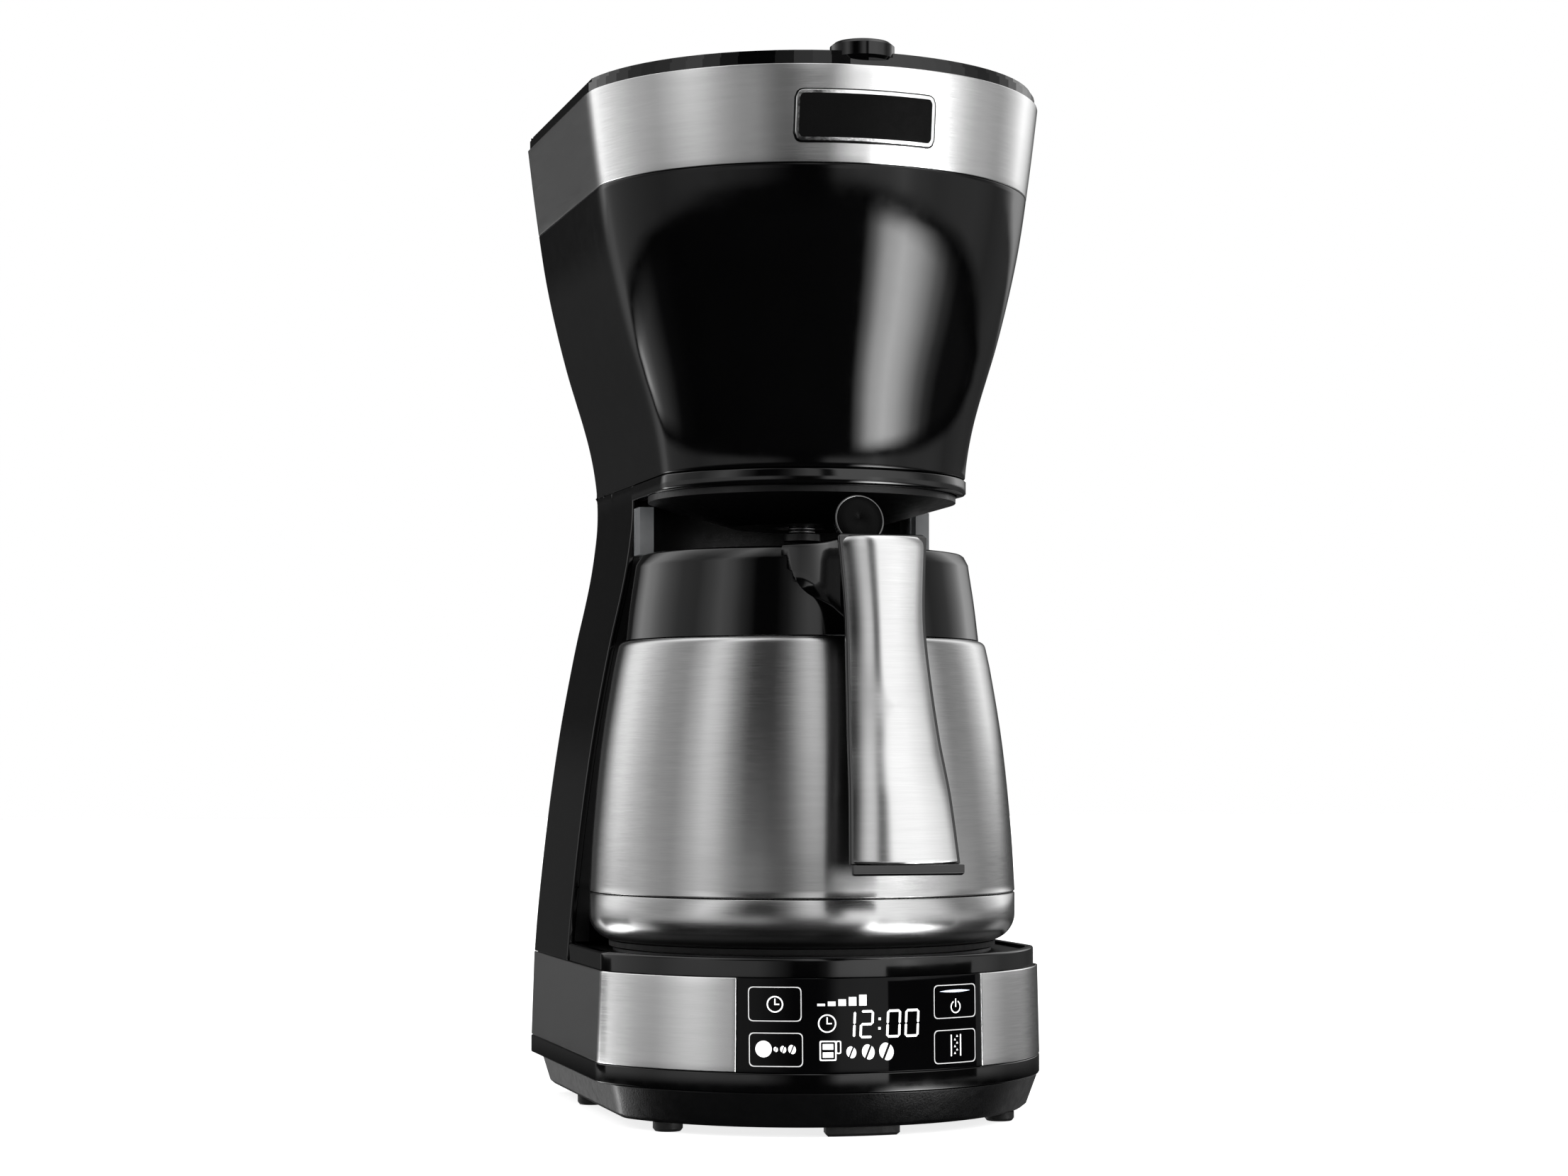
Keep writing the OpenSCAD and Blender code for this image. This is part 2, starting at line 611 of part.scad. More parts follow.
function plate_ring(z) = let (a = at(grip_width, z) / 2, r = at(grip_curve, z) - 0.98)
    concat([for (x = steps(-1, 1, 12)) [a * x, -r - 0.5 - 1.7 * (1 - x * x)]],
           [[a, -r], [-a, -r]]);
module handle_plate() color(steel) turned() {
    zs = steps(grip_z0 + 0.2, grip_z1 - 0.6, 14);
    loft([for (z = zs) plate_ring(z)], zs);
}

module handle_cap() color(black) turned() {
    zs = [93, 94, grip_z0 - 0.05];
    loft([for (k = [0 : 2]) let (a = 20.1 - (k == 0 ? 0.6 : 0), r = at(grip_curve, zs[k]) + 1)
        concat([[-a, -r], [a, -r]], [for (t = steps(12, 168, 13)) [a * cos(t), -r + 13.5 * sin(t)]])],
        zs);
}

module handle_screws() color(steel) turned() for (z = [184, 196])
    translate([0, -84, z]) rotate([90, 0, 0]) cylinder(r = 1.6, h = 9);

module lever_pin() color(steel) turned() translate([-7.5, lever_y, lever_z])
    rotate([0, 90, 0]) cylinder(r = 1.48, h = 15);

module carafe_lid() color(soft_black) place() {
    rotate_extrude() polygon([[12.2, 201], [33, 201], [33, 186], [12.2, 186], [12.2, 184],
                              [35.2, 184], [35.2, 199.2], [50.5, 201], [50.5, 204.6],
                              [12.2, 204.6]]);
}

module lid_seal() color("#8d9093") place() at_z(188) tube(35.2, 36.05, 2.4);

module pour_cap() color(black) place() {
    rotate_extrude() polygon([[5, 186.3], [16, 186.3], [16, 188.3], [11.9, 188.3],
                              [11.9, 207.2], [53.2, 207.2], [53.2, 208.4], [52.4, 208.9],
                              [18, 208.9], [9, 205], [5, 203]]);
}

module thumb_lever() color(black) turned() difference() {
    union() {
        translate([-2.9, lever_y, lever_z]) rotate([0, 90, 0]) cylinder(r = 2.8, h = 5.8);
        box([-2.9, lever_y, 205.5], [2.9, -51.4, 206.8]);
        intersection() {
            translate([0, -66.6, 217.2]) rotate([78, 0, 0]) cylinder(r = 9.1, h = 2.6);
            box([-12, -80, 208.8], [12, -50, 240]);
        }
        hull() {
            box([-2.9, -62, 206.4], [2.9, -60.4, 208.8]);
            box([-4, -68.6, 211.5], [4, -67, 214.5]);
        }
    }
    translate([-6, lever_y, lever_z]) rotate([0, 90, 0]) cylinder(r = 1.53, h = 12);
}

module lever_spring() color(steel) turned() for (x = [-4.4, 3.1])
    translate([x, lever_y, lever_z]) rotate([0, 90, 0]) tube(1.52, 2.2, 1.3);

base_pan();
base_shell();
fascia_left();
fascia_right();
display_window();
display_board();
power_board();
flow_heater();
thermostat();
inlet_hose();
riser_tube();
check_valve();
carafe_deck();
rest_plate();
housing();
rear_cover();
column_liner();
level_window_left();
level_window_right();
water_tank();
steel_band();
badge();
lip_ring();
head_floor();
top_frame();
rear_deck();
hinge_pin();
feet();
front_foot();
base_screws();
cable_gland();
lid();
lid_knob();
lid_duct();
shower_head();
filter_basket();
mesh_filter();
drip_valve();
valve_seal();
valve_spring();
carafe_shell();
carafe_cup();
inner_flask();
carafe_foot();
carafe_collar();
handle_grip();
handle_plate();
handle_cap();
handle_screws();
lever_pin();
carafe_lid();
lid_seal();
pour_cap();
thumb_lever();
lever_spring();
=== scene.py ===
import json
import math

import bmesh
import bpy
import numpy as np
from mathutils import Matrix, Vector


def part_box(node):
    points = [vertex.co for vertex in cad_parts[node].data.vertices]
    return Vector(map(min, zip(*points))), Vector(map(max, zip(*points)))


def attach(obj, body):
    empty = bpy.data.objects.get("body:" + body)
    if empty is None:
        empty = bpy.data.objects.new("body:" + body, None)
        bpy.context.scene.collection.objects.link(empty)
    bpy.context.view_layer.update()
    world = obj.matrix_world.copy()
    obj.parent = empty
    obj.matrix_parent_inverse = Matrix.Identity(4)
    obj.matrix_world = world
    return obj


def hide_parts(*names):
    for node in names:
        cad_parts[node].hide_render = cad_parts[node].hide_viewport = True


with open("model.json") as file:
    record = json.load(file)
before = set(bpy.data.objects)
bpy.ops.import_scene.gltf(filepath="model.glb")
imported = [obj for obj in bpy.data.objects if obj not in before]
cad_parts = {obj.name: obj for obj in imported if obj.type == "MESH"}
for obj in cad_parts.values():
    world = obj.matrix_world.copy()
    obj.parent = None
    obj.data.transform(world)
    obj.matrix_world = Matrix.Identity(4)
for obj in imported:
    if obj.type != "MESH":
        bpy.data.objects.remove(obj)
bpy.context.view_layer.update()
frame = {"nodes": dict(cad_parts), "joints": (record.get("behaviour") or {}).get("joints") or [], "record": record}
NODES = frame["nodes"]
JOINTS = {joint["name"]: joint for joint in frame["joints"]}
MM = 0.001


# ---- Measures from the frame ----------------------------------------------------------

class Curve:
    """Smooth curve through (place, value) points, drawn as the CAD draws its profiles."""

    def __init__(self, points):
        self.points = sorted(points)

    def slope(self, i):
        a, b = max(i - 1, 0), min(i + 1, len(self.points) - 1)
        return (self.points[b][1] - self.points[a][1]) / (self.points[b][0] - self.points[a][0])

    def __call__(self, place):
        p = self.points
        i = 0
        while i < len(p) - 2 and place >= p[i + 1][0]:
            i += 1
        h = p[i + 1][0] - p[i][0]
        t = (place - p[i][0]) / h
        return ((2 * t**3 - 3 * t**2 + 1) * p[i][1] + (t**3 - 2 * t**2 + t) * h * self.slope(i)
                + (3 * t**2 - 2 * t**3) * p[i + 1][1] + (t**3 - t**2) * h * self.slope(i + 1))


def by_height(node, measure, lowest=-1.0, highest=1.0, step=0.0008):
    """Curve of the largest measure(x, y) at each height where a CAD node has vertices."""
    best = {}
    for v in NODES[node].data.vertices:
        z = round(v.co.z, 5)
        if lowest <= z <= highest:
            best[z] = max(best.get(z, -1.0), measure(v.co.x, v.co.y))
    kept = []
    for z in sorted(best):
        if not kept or z - kept[-1][0] > step:
            kept.append((z, best[z]))
    return kept


shell_lo, shell_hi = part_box("carafe_shell")
AXIS_Y = (shell_lo.y + shell_hi.y) / 2
band_lo, band_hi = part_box("steel_band")
fascia_lo, fascia_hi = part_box("fascia_left")
deck_lo, deck_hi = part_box("carafe_deck")
ring_lo, ring_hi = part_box("lip_ring")
pan_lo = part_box("base_pan")[0]
REAR = band_hi.y - AXIS_Y
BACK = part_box("rear_cover")[1].y - AXIS_Y
EDGE = ring_hi.y - AXIS_Y + 0.5 * MM
BAND_Z0, BAND_Z1 = band_lo.z, band_hi.z
HEAD_Z = ring_hi.z + 0.1 * MM
WALL = 2.4 * MM
TURN = math.atan2(JOINTS["lever_press"]["axis"][1], JOINTS["lever_press"]["axis"][0])

side_w = Curve(by_height("housing", lambda x, y: abs(x), highest=BAND_Z0 - 0.3 * MM)
               + by_height("steel_band", lambda x, y: abs(x)))
band_front = Curve(by_height("steel_band", lambda x, y: math.hypot(x, y - AXIS_Y) if y < AXIS_Y
                             and abs(x) < 30 * MM else -1.0))
CREASE = math.sqrt(band_front(BAND_Z1) ** 2 - side_w(BAND_Z1) ** 2)


def front_r(z):
    return math.hypot(side_w(z), CREASE)


# ---- Mesh helpers ---------------------------------------------------------------------

def as_object(name, verts, faces):
    mesh = bpy.data.meshes.new(name)
    mesh.from_pydata([tuple(v) for v in verts], [], faces)
    bm = bmesh.new()
    bm.from_mesh(mesh)
    bmesh.ops.remove_doubles(bm, verts=bm.verts, dist=0.000004)
    bmesh.ops.recalc_face_normals(bm, faces=bm.faces)
    bm.to_mesh(mesh)
    bm.free()
    mesh.shade_smooth()
    obj = bpy.data.objects.new(name, mesh)
    bpy.context.scene.collection.objects.link(obj)
    return obj


def grid_faces(rows, cols, first=0, wrap=False):
    last = cols if wrap else cols - 1
    return [(first + r * cols + c, first + r * cols + (c + 1) % cols,
             first + (r + 1) * cols + (c + 1) % cols, first + (r + 1) * cols + c)
            for r in range(rows - 1) for c in range(last)]


def shell_parts(outer, inner):
    """Vertices and faces of a closed wall between two grids of the same size."""
    outer, inner = np.asarray(outer), np.asarray(inner)
    rows, cols = outer.shape[:2]
    n = rows * cols
    faces = grid_faces(rows, cols) + [f[::-1] for f in grid_faces(rows, cols, n)]
    for c in range(cols - 1):
        top = (rows - 1) * cols + c
        faces += [(c + 1, c, n + c, n + c + 1), (top, top + 1, n + top + 1, n + top)]
    for r in range(rows - 1):
        a, b = r * cols, (r + 1) * cols
        faces += [(a, b, n + b, n + a), (b + cols - 1, a + cols - 1, n + a + cols - 1,
                                         n + b + cols - 1)]
    return np.concatenate([outer.reshape(-1, 3), inner.reshape(-1, 3)]), faces


def join_parts(parts):
    verts, faces = [], []
    for v, f in parts:
        start = len(verts)
        verts += [tuple(p) for p in v]
        faces += [tuple(i + start for i in face) for face in f]
    return verts, faces


def shell(name, *pairs):
    return as_object(name, *join_parts([shell_parts(outer, inner) for outer, inner in pairs]))


def loft_parts(rings):
    """Closed solid through rings of equal length, with flat ends."""
    rows, cols = len(rings), len(rings[0])
    verts = [p for ring in rings for p in ring]
    faces = grid_faces(rows, cols, wrap=True)
    faces += [tuple(range(cols))[::-1], tuple((rows - 1) * cols + c for c in range(cols))]
    return verts, faces


def rounded(points, radii, steps=5):
    """Closed outline with its corners rounded to the given radii."""
    out = []
    count = len(points)
    for i, (corner, radius) in enumerate(zip(points, radii)):
        corner = np.array(corner, float)
        before = np.array(points[i - 1], float) - corner
        after = np.array(points[(i + 1) % count], float) - corner
        if radius <= 0:
            out.append(tuple(corner))
            continue
        reach = min(radius, np.linalg.norm(before) * 0.49, np.linalg.norm(after) * 0.49)
        a = corner + before / np.linalg.norm(before) * reach
        b = corner + after / np.linalg.norm(after) * reach
        for t in np.linspace(0, 1, steps + 1):
            out.append(tuple((1 - t) ** 2 * a + 2 * t * (1 - t) * corner + t**2 * b))
    return out


def revolve(name, profile, turns=192, start=0.0, sweep=2 * math.pi, centre=None):
    """Turns a closed (radius, height) outline about the carafe axis; angle 0 is the front."""
    cx, cy = centre or (0.0, AXIS_Y)
    whole = sweep > 2 * math.pi - 1e-6
    count = turns if whole else turns + 1
    verts = []
    for k in range(count):
        a = start + sweep * k / turns
        verts += [(cx + r * math.sin(a), cy - r * math.cos(a), z) for r, z in profile]
    m = len(profile)
    faces = []
    for k in range(turns):
        for i in range(m):
            j = (i + 1) % m
            n = (k + 1) % count
            faces.append((k * m + i, n * m + i, n * m + j, k * m + j))
    if not whole:
        faces += [tuple(range(m)), tuple((count - 1) * m + i for i in range(m))[::-1]]
    return as_object(name, verts, faces)


def crisp(obj, width, angle=32, segments=2):
    """Small rounded edges, with normals that keep the large faces clean."""
    bevel = obj.modifiers.new("edges", "BEVEL")
    bevel.width = width
    bevel.segments = segments
    bevel.limit_method = "ANGLE"
    bevel.angle_limit = math.radians(angle)
    bevel.use_clamp_overlap = True
    obj.modifiers.new("normals", "WEIGHTED_NORMAL").keep_sharp = True
    return obj


def u_outline(w, r, rear, side_points=44, arc_points=120, soften=5):
    """Outline left rear, round the front, to right rear, with softened creases."""
    a = math.asin(w / r)
    left = [(-w, y) for y in np.linspace(rear, -r * math.cos(a), side_points)[:-1]]
    front = [(r * math.sin(t), -r * math.cos(t)) for t in np.linspace(-a, a, arc_points)]
    line = np.array(left + front + [(-x, y) for x, y in left[::-1]])
    for _ in range(soften):
        line[1:-1] = (line[:-2] + 2 * line[1:-1] + line[2:]) / 4
    return line


def back_outline(w, rear, back, points=60):
    s = back - rear
    rb = (w * w + s * s) / (2 * s)
    a = math.asin(w / rb)
    return np.array([(rb * math.sin(t), back - rb + rb * math.cos(t))
                     for t in np.linspace(a, -a, points)])


def at_height(line, z):
    return [(x, AXIS_Y + y, z) for x, y in line]


def turned(points):
    """Points given in the handle's own frame, with the handle straight ahead."""
    c, s = math.cos(TURN), math.sin(TURN)
    return [(x * c - y * s, AXIS_Y + x * s + y * c, z) for x, y, z in points]


# ---- Materials ------------------------------------------------------------------------

def node(tree, kind, inputs=None, **settings):
    made = tree.nodes.new("ShaderNode" + kind)
    for key, value in settings.items():
        setattr(made, key, value)
    for key, value in (inputs or {}).items():
        if isinstance(value, bpy.types.NodeSocket):
            tree.links.new(value, made.inputs[key])
        else:
            made.inputs[key].default_value = value
    return made


def calc(tree, operation, *values, clamp=False):
    return node(tree, "Math", dict(enumerate(values)), operation=operation,
                use_clamp=clamp).outputs[0]


def ranged(tree, value, low, high, to_low, to_high):
    return node(tree, "MapRange", {"Value": value, "From Min": low, "From Max": high,
                                   "To Min": to_low, "To Max": to_high}).outputs["Result"]


def new_material(name, **constants):
    mat = bpy.data.materials.new(name)
    mat.use_nodes = True
    tree = mat.node_tree
    shader = tree.nodes["Principled BSDF"]
    for key, value in constants.items():
        shader.inputs[key.replace("_", " ")].default_value = value
    place = node(tree, "TexCoord").outputs["Object"]
    return mat, tree, shader, place


def noise(tree, place, scale, detail=3.0, rough=0.55):
    return node(tree, "TexNoise", {"Vector": place, "Scale": scale, "Detail": detail,
                                   "Roughness": rough}).outputs["Fac"]


def tint(tree, shader, factor, dark, light):
    ramp = node(tree, "ValToRGB", {"Fac": factor})
    ramp.color_ramp.elements[0].position = 0.3
    ramp.color_ramp.elements[1].position = 0.7
    ramp.color_ramp.elements[0].color = (*dark, 1)
    ramp.color_ramp.elements[1].color = (*light, 1)
    tree.links.new(ramp.outputs["Color"], shader.inputs["Base Color"])


def bump(tree, shader, height, distance, strength=1.0):
    made = node(tree, "Bump", {"Height": height, "Distance": distance, "Strength": strength})
    tree.links.new(made.outputs["Normal"], shader.inputs["Normal"])


def rough_from(tree, shader, factor, low, high):
    tree.links.new(ranged(tree, factor, 0.3, 0.7, low, high), shader.inputs["Roughness"])


def shades(colour, spread):
    return [c * (1 - spread) for c in colour], [min(c * (1 + spread), 1.0) for c in colour]


def gloss_plastic(name, colour, low=0.06, high=0.10, ior=1.5):
    """Moulded gloss plastic: a faint ripple, and slightly uneven polish."""
    mat, tree, shader, place = new_material(name, IOR=ior)
    tint(tree, shader, noise(tree, place, 45.0), *shades(colour, 0.15))
    rough_from(tree, shader, noise(tree, place, 160.0, 4.0), low, high)
    bump(tree, shader, noise(tree, place, 70.0, 1.0), 0.00002)
    return mat


def matte_plastic(name, colour, rough=0.42, grain=1400.0, ior=1.5):
    """Moulded plastic with a fine spark-eroded grain."""
    mat, tree, shader, place = new_material(name, IOR=ior)
    tint(tree, shader, noise(tree, place, 60.0), *shades(colour, 0.12))
    rough_from(tree, shader, noise(tree, place, 300.0), rough - 0.05, rough + 0.06)
    bump(tree, shader, noise(tree, place, grain, 2.0), 0.00005)
    return mat


def streaks(tree, place, around, across):
    """Noise drawn out round the carafe axis, as a brush leaves it on turned or bent sheet."""
    xyz = node(tree, "SeparateXYZ", {"Vector": place}).outputs
    ahead = calc(tree, "SUBTRACT", AXIS_Y, xyz["Y"])
    angle = calc(tree, "ARCTAN2", xyz["X"], ahead)
    vector = node(tree, "CombineXYZ", {"X": calc(tree, "MULTIPLY", angle, around),
                                       "Y": calc(tree, "MULTIPLY", xyz["Z"], across)})
    return noise(tree, vector.outputs["Vector"], 1.0, 4.0, 0.6)


def brushed_steel(name, colour, rough=0.22, fine=4200.0, spread=0.05):
    """Steel brushed round the axis: fine streaks, broader tone bands, and stretched gloss."""
    mat, tree, shader, place = new_material(name, Metallic=1.0, Anisotropic=0.85,
                                            Anisotropic_Rotation=0.25)
    tangent = node(tree, "Tangent", direction_type="RADIAL", axis="Z")
    tree.links.new(tangent.outputs["Tangent"], shader.inputs["Tangent"])
    thin = streaks(tree, place, 7.0, fine)
    broad = streaks(tree, place, 2.5, fine / 9)
    both = calc(tree, "MULTIPLY_ADD", broad, 0.35, calc(tree, "MULTIPLY", thin, 0.65))
    tint(tree, shader, both, *shades(colour, spread))
    rough_from(tree, shader, thin, rough - 0.02, rough + 0.03)
    bump(tree, shader, thin, 0.0000035)
    return mat


def plain_metal(name, colour, rough=0.3):
    mat, tree, shader, place = new_material(name, Metallic=1.0)
    tint(tree, shader, noise(tree, place, 220.0, 4.0), *shades(colour, 0.12))
    rough_from(tree, shader, noise(tree, place, 500.0), rough - 0.08, rough + 0.08)
    bump(tree, shader, noise(tree, place, 900.0, 2.0), 0.00002)
    return mat


def rubber(name, colour, rough=0.62):
    mat, tree, shader, place = new_material(name, IOR=1.45)
    tint(tree, shader, noise(tree, place, 120.0), *shades(colour, 0.15))
    rough_from(tree, shader, noise(tree, place, 420.0), rough - 0.06, rough + 0.08)
    bump(tree, shader, noise(tree, place, 1800.0, 2.0), 0.00005)
    return mat


def smoked_clear(name, colour):
    """Translucent grey plastic with faint flow marks."""
    mat, tree, shader, place = new_material(name, IOR=1.46, Transmission_Weight=0.55)
    tint(tree, shader, noise(tree, place, 90.0), *shades(colour, 0.12))
    rough_from(tree, shader, noise(tree, place, 260.0), 0.16, 0.26)
    bump(tree, shader, noise(tree, place, 150.0, 1.0), 0.00004)
    return mat


def mesh_gold(name, colour):
    """Perforated filter sheet: rows of small dents over a brass-coloured metal, with painted shade darkening the
    middle of each dent.
    """
    mat, tree, shader, place = new_material(name, Metallic=1.0)
    dents_and_shade = node(tree, "TexVoronoi", {"Vector": place, "Scale": 900.0,
                                     "Randomness": 0.0}).outputs["Distance"]
    # Painted shade: the colour darkens toward the middle of each dent
    tint(tree, shader, dents_and_shade, *shades(colour, 0.35))
    rough_from(tree, shader, noise(tree, place, 300.0), 0.28, 0.40)
    bump(tree, shader, dents_and_shade, 0.0001)
    return mat


def glowing(name, colour, strength, uneven=0.08):
    """Printed or lit mark: even light with a faint unevenness."""
    mat, tree, shader, place = new_material(name, Roughness=0.4, Emission_Strength=strength)
    tint(tree, shader, noise(tree, place, 400.0), *shades(colour, uneven))
    ramp = tree.nodes["Color Ramp"].outputs["Color"]
    tree.links.new(ramp, shader.inputs["Emission Color"])
    return mat


MATERIALS = {
    "housing_black": gloss_plastic("housing_black", (0.0009, 0.0009, 0.0010), ior=1.5),
    "carafe_black": gloss_plastic("carafe_black", (0.0008, 0.0008, 0.0009), 0.06, 0.10, 1.55),
    "window_black": gloss_plastic("window_black", (0.0016, 0.0016, 0.0018), 0.03, 0.05, 1.22),
    "soft_black": matte_plastic("soft_black", (0.0022, 0.0022, 0.0024), 0.34, ior=1.4),
    "valve_dark": matte_plastic("valve_dark", (0.010, 0.010, 0.011)),
    "deck_grey": matte_plastic("deck_grey", (0.035, 0.035, 0.037), 0.36),
    "band_steel": brushed_steel("band_steel", (0.80, 0.80, 0.80), 0.22, 3600.0, 0.08),
    "carafe_steel": brushed_steel("carafe_steel", (0.54, 0.54, 0.54), 0.22, 3600.0, 0.10),
    "handle_steel": brushed_steel("handle_steel", (0.62, 0.62, 0.62), 0.19, 3600.0, 0.07),
    "flask_steel": plain_metal("flask_steel", (0.52, 0.52, 0.53)),
    "fastener_steel": plain_metal("fastener_steel", (0.50, 0.50, 0.50), 0.34),
    "heater_aluminium": plain_metal("heater_aluminium", (0.56, 0.56, 0.57), 0.45),
    "thermostat_body": plain_metal("thermostat_body", (0.42, 0.42, 0.43), 0.40),
    "tank_smoke": smoked_clear("tank_smoke", (0.30, 0.31, 0.32)),
    "rubber_black": rubber("rubber_black", (0.006, 0.006, 0.006)),
    "seal_grey": rubber("seal_grey", (0.25, 0.25, 0.25)),
    "seal_red": rubber("seal_red", (0.30, 0.06, 0.04)),
    "hose_white": rubber("hose_white", (0.66, 0.66, 0.64), 0.5),
    "board_green": matte_plastic("board_green", (0.012, 0.085, 0.038), 0.3, 700.0),
    "filter_gold": mesh_gold("filter_gold", (0.72, 0.53, 0.22)),
}
# Finishes of single pieces that differ from the rest of their slot, and of the display's marks. The fascia's steel
# is the band steel made lighter: painted light, for the stronger light on the fascia
FINISHES = {
    "head_black": gloss_plastic("head_black", (0.0009, 0.0009, 0.0010), ior=1.33),
    "badge_bright": plain_metal("badge_bright", (0.94, 0.94, 0.94), 0.16),
    # Painted light: the band steel made lighter for the fascia, standing in for the stronger light that falls on
    # it
    "lit_fascia_steel": brushed_steel("lit_fascia_steel", (0.88, 0.88, 0.88), 0.22, 3600.0, 0.08),
    "pad_rim": plain_metal("pad_rim", (0.16, 0.16, 0.16)),
    "pad_black": matte_plastic("pad_black", (0.004, 0.004, 0.004), 0.45, ior=1.12),
    "mark_white": glowing("mark_white", (0.92, 0.92, 0.92), 0.9),
    "mark_grey": glowing("mark_grey", (0.62, 0.62, 0.62), 0.35),
    "mark_blue": glowing("mark_blue", (0.72, 0.80, 1.0), 1.0),
}
for part in frame["record"]["subparts"]:
    NODES[part["node"]].data.materials.clear()
    NODES[part["node"]].data.materials.append(MATERIALS[part["material_slot"]])


def dress(obj, slot, body, *stands_for, finish=None):
    """Gives a new piece its material and its body, and hides the CAD nodes that it stands for."""
    obj.data.materials.clear()
    obj.data.materials.append(FINISHES[finish] if finish else MATERIALS[slot])
    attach(obj, body)
    if stands_for:
        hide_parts(*stands_for)
    return obj


# ---- Housing, rear cover and head band ------------------------------------------------

def u_grid(zs, inset, rear=REAR):
    return [at_height(u_outline(side_w(z) - inset, front_r(z) - inset, rear), z) for z in zs]


def wall_grid(sign, zs, inset):
    ys = np.linspace(EDGE, REAR, 34)
    return [[(sign * (side_w(z) - inset), AXIS_Y + y, z) for y in ys] for z in zs]


def make_housing():
    column = np.linspace(deck_lo.z, HEAD_Z, 84)
    head = np.linspace(HEAD_Z, BAND_Z0 - 0.1 * MM, 56)
    neck = np.linspace(BAND_Z0 - 0.1 * MM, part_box("housing")[1].z, 6)
    skin = 0.9 * MM
    obj = shell("housing_skin",
                (u_grid(head, 0.0), u_grid(head, WALL)),
                (u_grid(neck, skin), u_grid(neck, skin + WALL)),
                (wall_grid(-1, column, 0.0), wall_grid(-1, column, WALL)),
                (wall_grid(1, column, 0.0), wall_grid(1, column, WALL)))
    dress(crisp(obj, 0.5 * MM), "housing_black", "machine", "housing", finish="head_black")


def make_rear_cover():
    zs = np.linspace(deck_lo.z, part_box("rear_cover")[1].z, 100)

    def grid(inset):
        return [at_height(back_outline(side_w(z) - inset, REAR + 0.1 * MM, BACK - inset), z)
                for z in zs]
    dress(crisp(shell("rear_cover_skin", (grid(0.0), grid(WALL))), 0.6 * MM), "soft_black",
          "machine", "rear_cover")


def make_band():
    zs = np.linspace(BAND_Z0, BAND_Z1, 12)
    obj = shell("steel_band_skin", (u_grid(zs, 0.0), u_grid(zs, 0.8 * MM)))
    dress(crisp(obj, 0.35 * MM), "band_steel", "machine", "steel_band")


def make_badge():
    """Blank plaque bent round the band: a black bed, a bright rim, and a black plate."""
    lo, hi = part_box("badge")
    z_mid = (lo.z + hi.z) / 2
    half_a, half_z = (hi.x - lo.x) / 2, (hi.z - lo.z) / 2

    def plaque(name, inset, lift, slot, *stands_for, finish=None):
        a, b = half_a - inset, half_z - inset
        corner = max(3.2 * MM - inset, 0.8 * MM)

        def face(level):
            rows = []
            for x in np.linspace(-a, a, 61):
                over = max(abs(x) - a + corner, 0.0)
                reach = b - corner + math.sqrt(max(corner**2 - over**2, 0.0))
                row = []
                for h in np.linspace(-reach, reach, 9):
                    r = front_r(z_mid + h) + level
                    row.append((x, AXIS_Y - math.sqrt(r * r - x * x), z_mid + h))
                rows.append(row)
            return rows
        obj = shell(name, (face(lift), face(-0.2 * MM)))
        dress(crisp(obj, 0.2 * MM), slot, "machine", *stands_for, finish=finish)

    plaque("badge_bed", 0.0, 0.45 * MM, "housing_black", "badge")
    plaque("badge_rim", 0.55 * MM, 0.9 * MM, "handle_steel", finish="badge_bright")
    plaque("badge_plate", 1.75 * MM, 1.1 * MM, "housing_black", finish="pad_black")


# ---- Base -----------------------------------------------------------------------------

def measured_plan(node_name, z, tolerance=0.4 * MM):
    """Half width, front radius, rear and back distances of a plan outline at one height."""
    at = [(v.co.x, v.co.y - AXIS_Y) for v in NODES[node_name].data.vertices
          if abs(v.co.z - z) < tolerance]
    w = max(abs(x) for x, y in at)
    front = -min(y for x, y in at)
    back = max(y for x, y in at)
    rear = max(y for x, y in at if abs(x) > w - 0.2 * MM)
    return w, front, rear, back


def plan_line(w, r, rear, back):
    """Closed plan outline: softened front, flat sides, and the curve of the back."""
    front = u_outline(w, r, rear, soften=2)
    return np.concatenate([front, back_outline(w, rear, back)[1:-1]])


def plan_ring(measure, inset, z):
    w, r, rear, back = measure
    return at_height(plan_line(w - inset, r - inset, rear - inset, back - inset), z)


def wall_between(levels, thickness):
    """Closed wall all the way round, through (plan measure, inset, height) levels."""
    outer = np.array([plan_ring(m, inset, z) for m, inset, z in levels])
    inner = np.array([plan_ring(m, inset + thickness, z) for m, inset, z in levels])
    outer = np.concatenate([outer, outer[:, :1]], axis=1)
    inner = np.concatenate([inner, inner[:, :1]], axis=1)
    return outer, inner


def make_base():
    shell_lo_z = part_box("base_shell")[0].z
    skirt = measured_plan("base_shell", shell_lo_z)
    pan_low = measured_plan("base_pan", pan_lo.z)
    pan_top = measured_plan("base_pan", shell_lo_z)
    z0, z1 = fascia_lo.z, fascia_hi.z
    behind_fascia = 2.0 * MM
    skirt_obj = shell(
        "base_skin",
        wall_between([(skirt, 0.0, shell_lo_z), (skirt, 0.0, z0 - 0.1 * MM)], 4.0 * MM),
        wall_between([(skirt, behind_fascia, z0 - 0.2 * MM), (skirt, behind_fascia, z1)], 2.0 * MM))
    dress(crisp(skirt_obj, 0.5 * MM), "housing_black", "machine", "base_shell")

    levels = [pan_lo.z, pan_lo.z + 1.6 * MM, shell_lo_z]
    mixed = []
    for z in levels:
        t = (z - pan_lo.z) / (shell_lo_z - pan_lo.z)
        mixed.append(tuple(a + (b - a) * t for a, b in zip(pan_low, pan_top)))
    rings = [plan_ring(mixed[0], 1.4 * MM, levels[0])]
    rings += [plan_ring(m, 0.0, z) for m, z in zip(mixed[1:], levels[1:])]
    pan = as_object("pan_skin", *loft_parts(rings))
    dress(crisp(pan, 0.4 * MM), "soft_black", "machine", "base_pan")


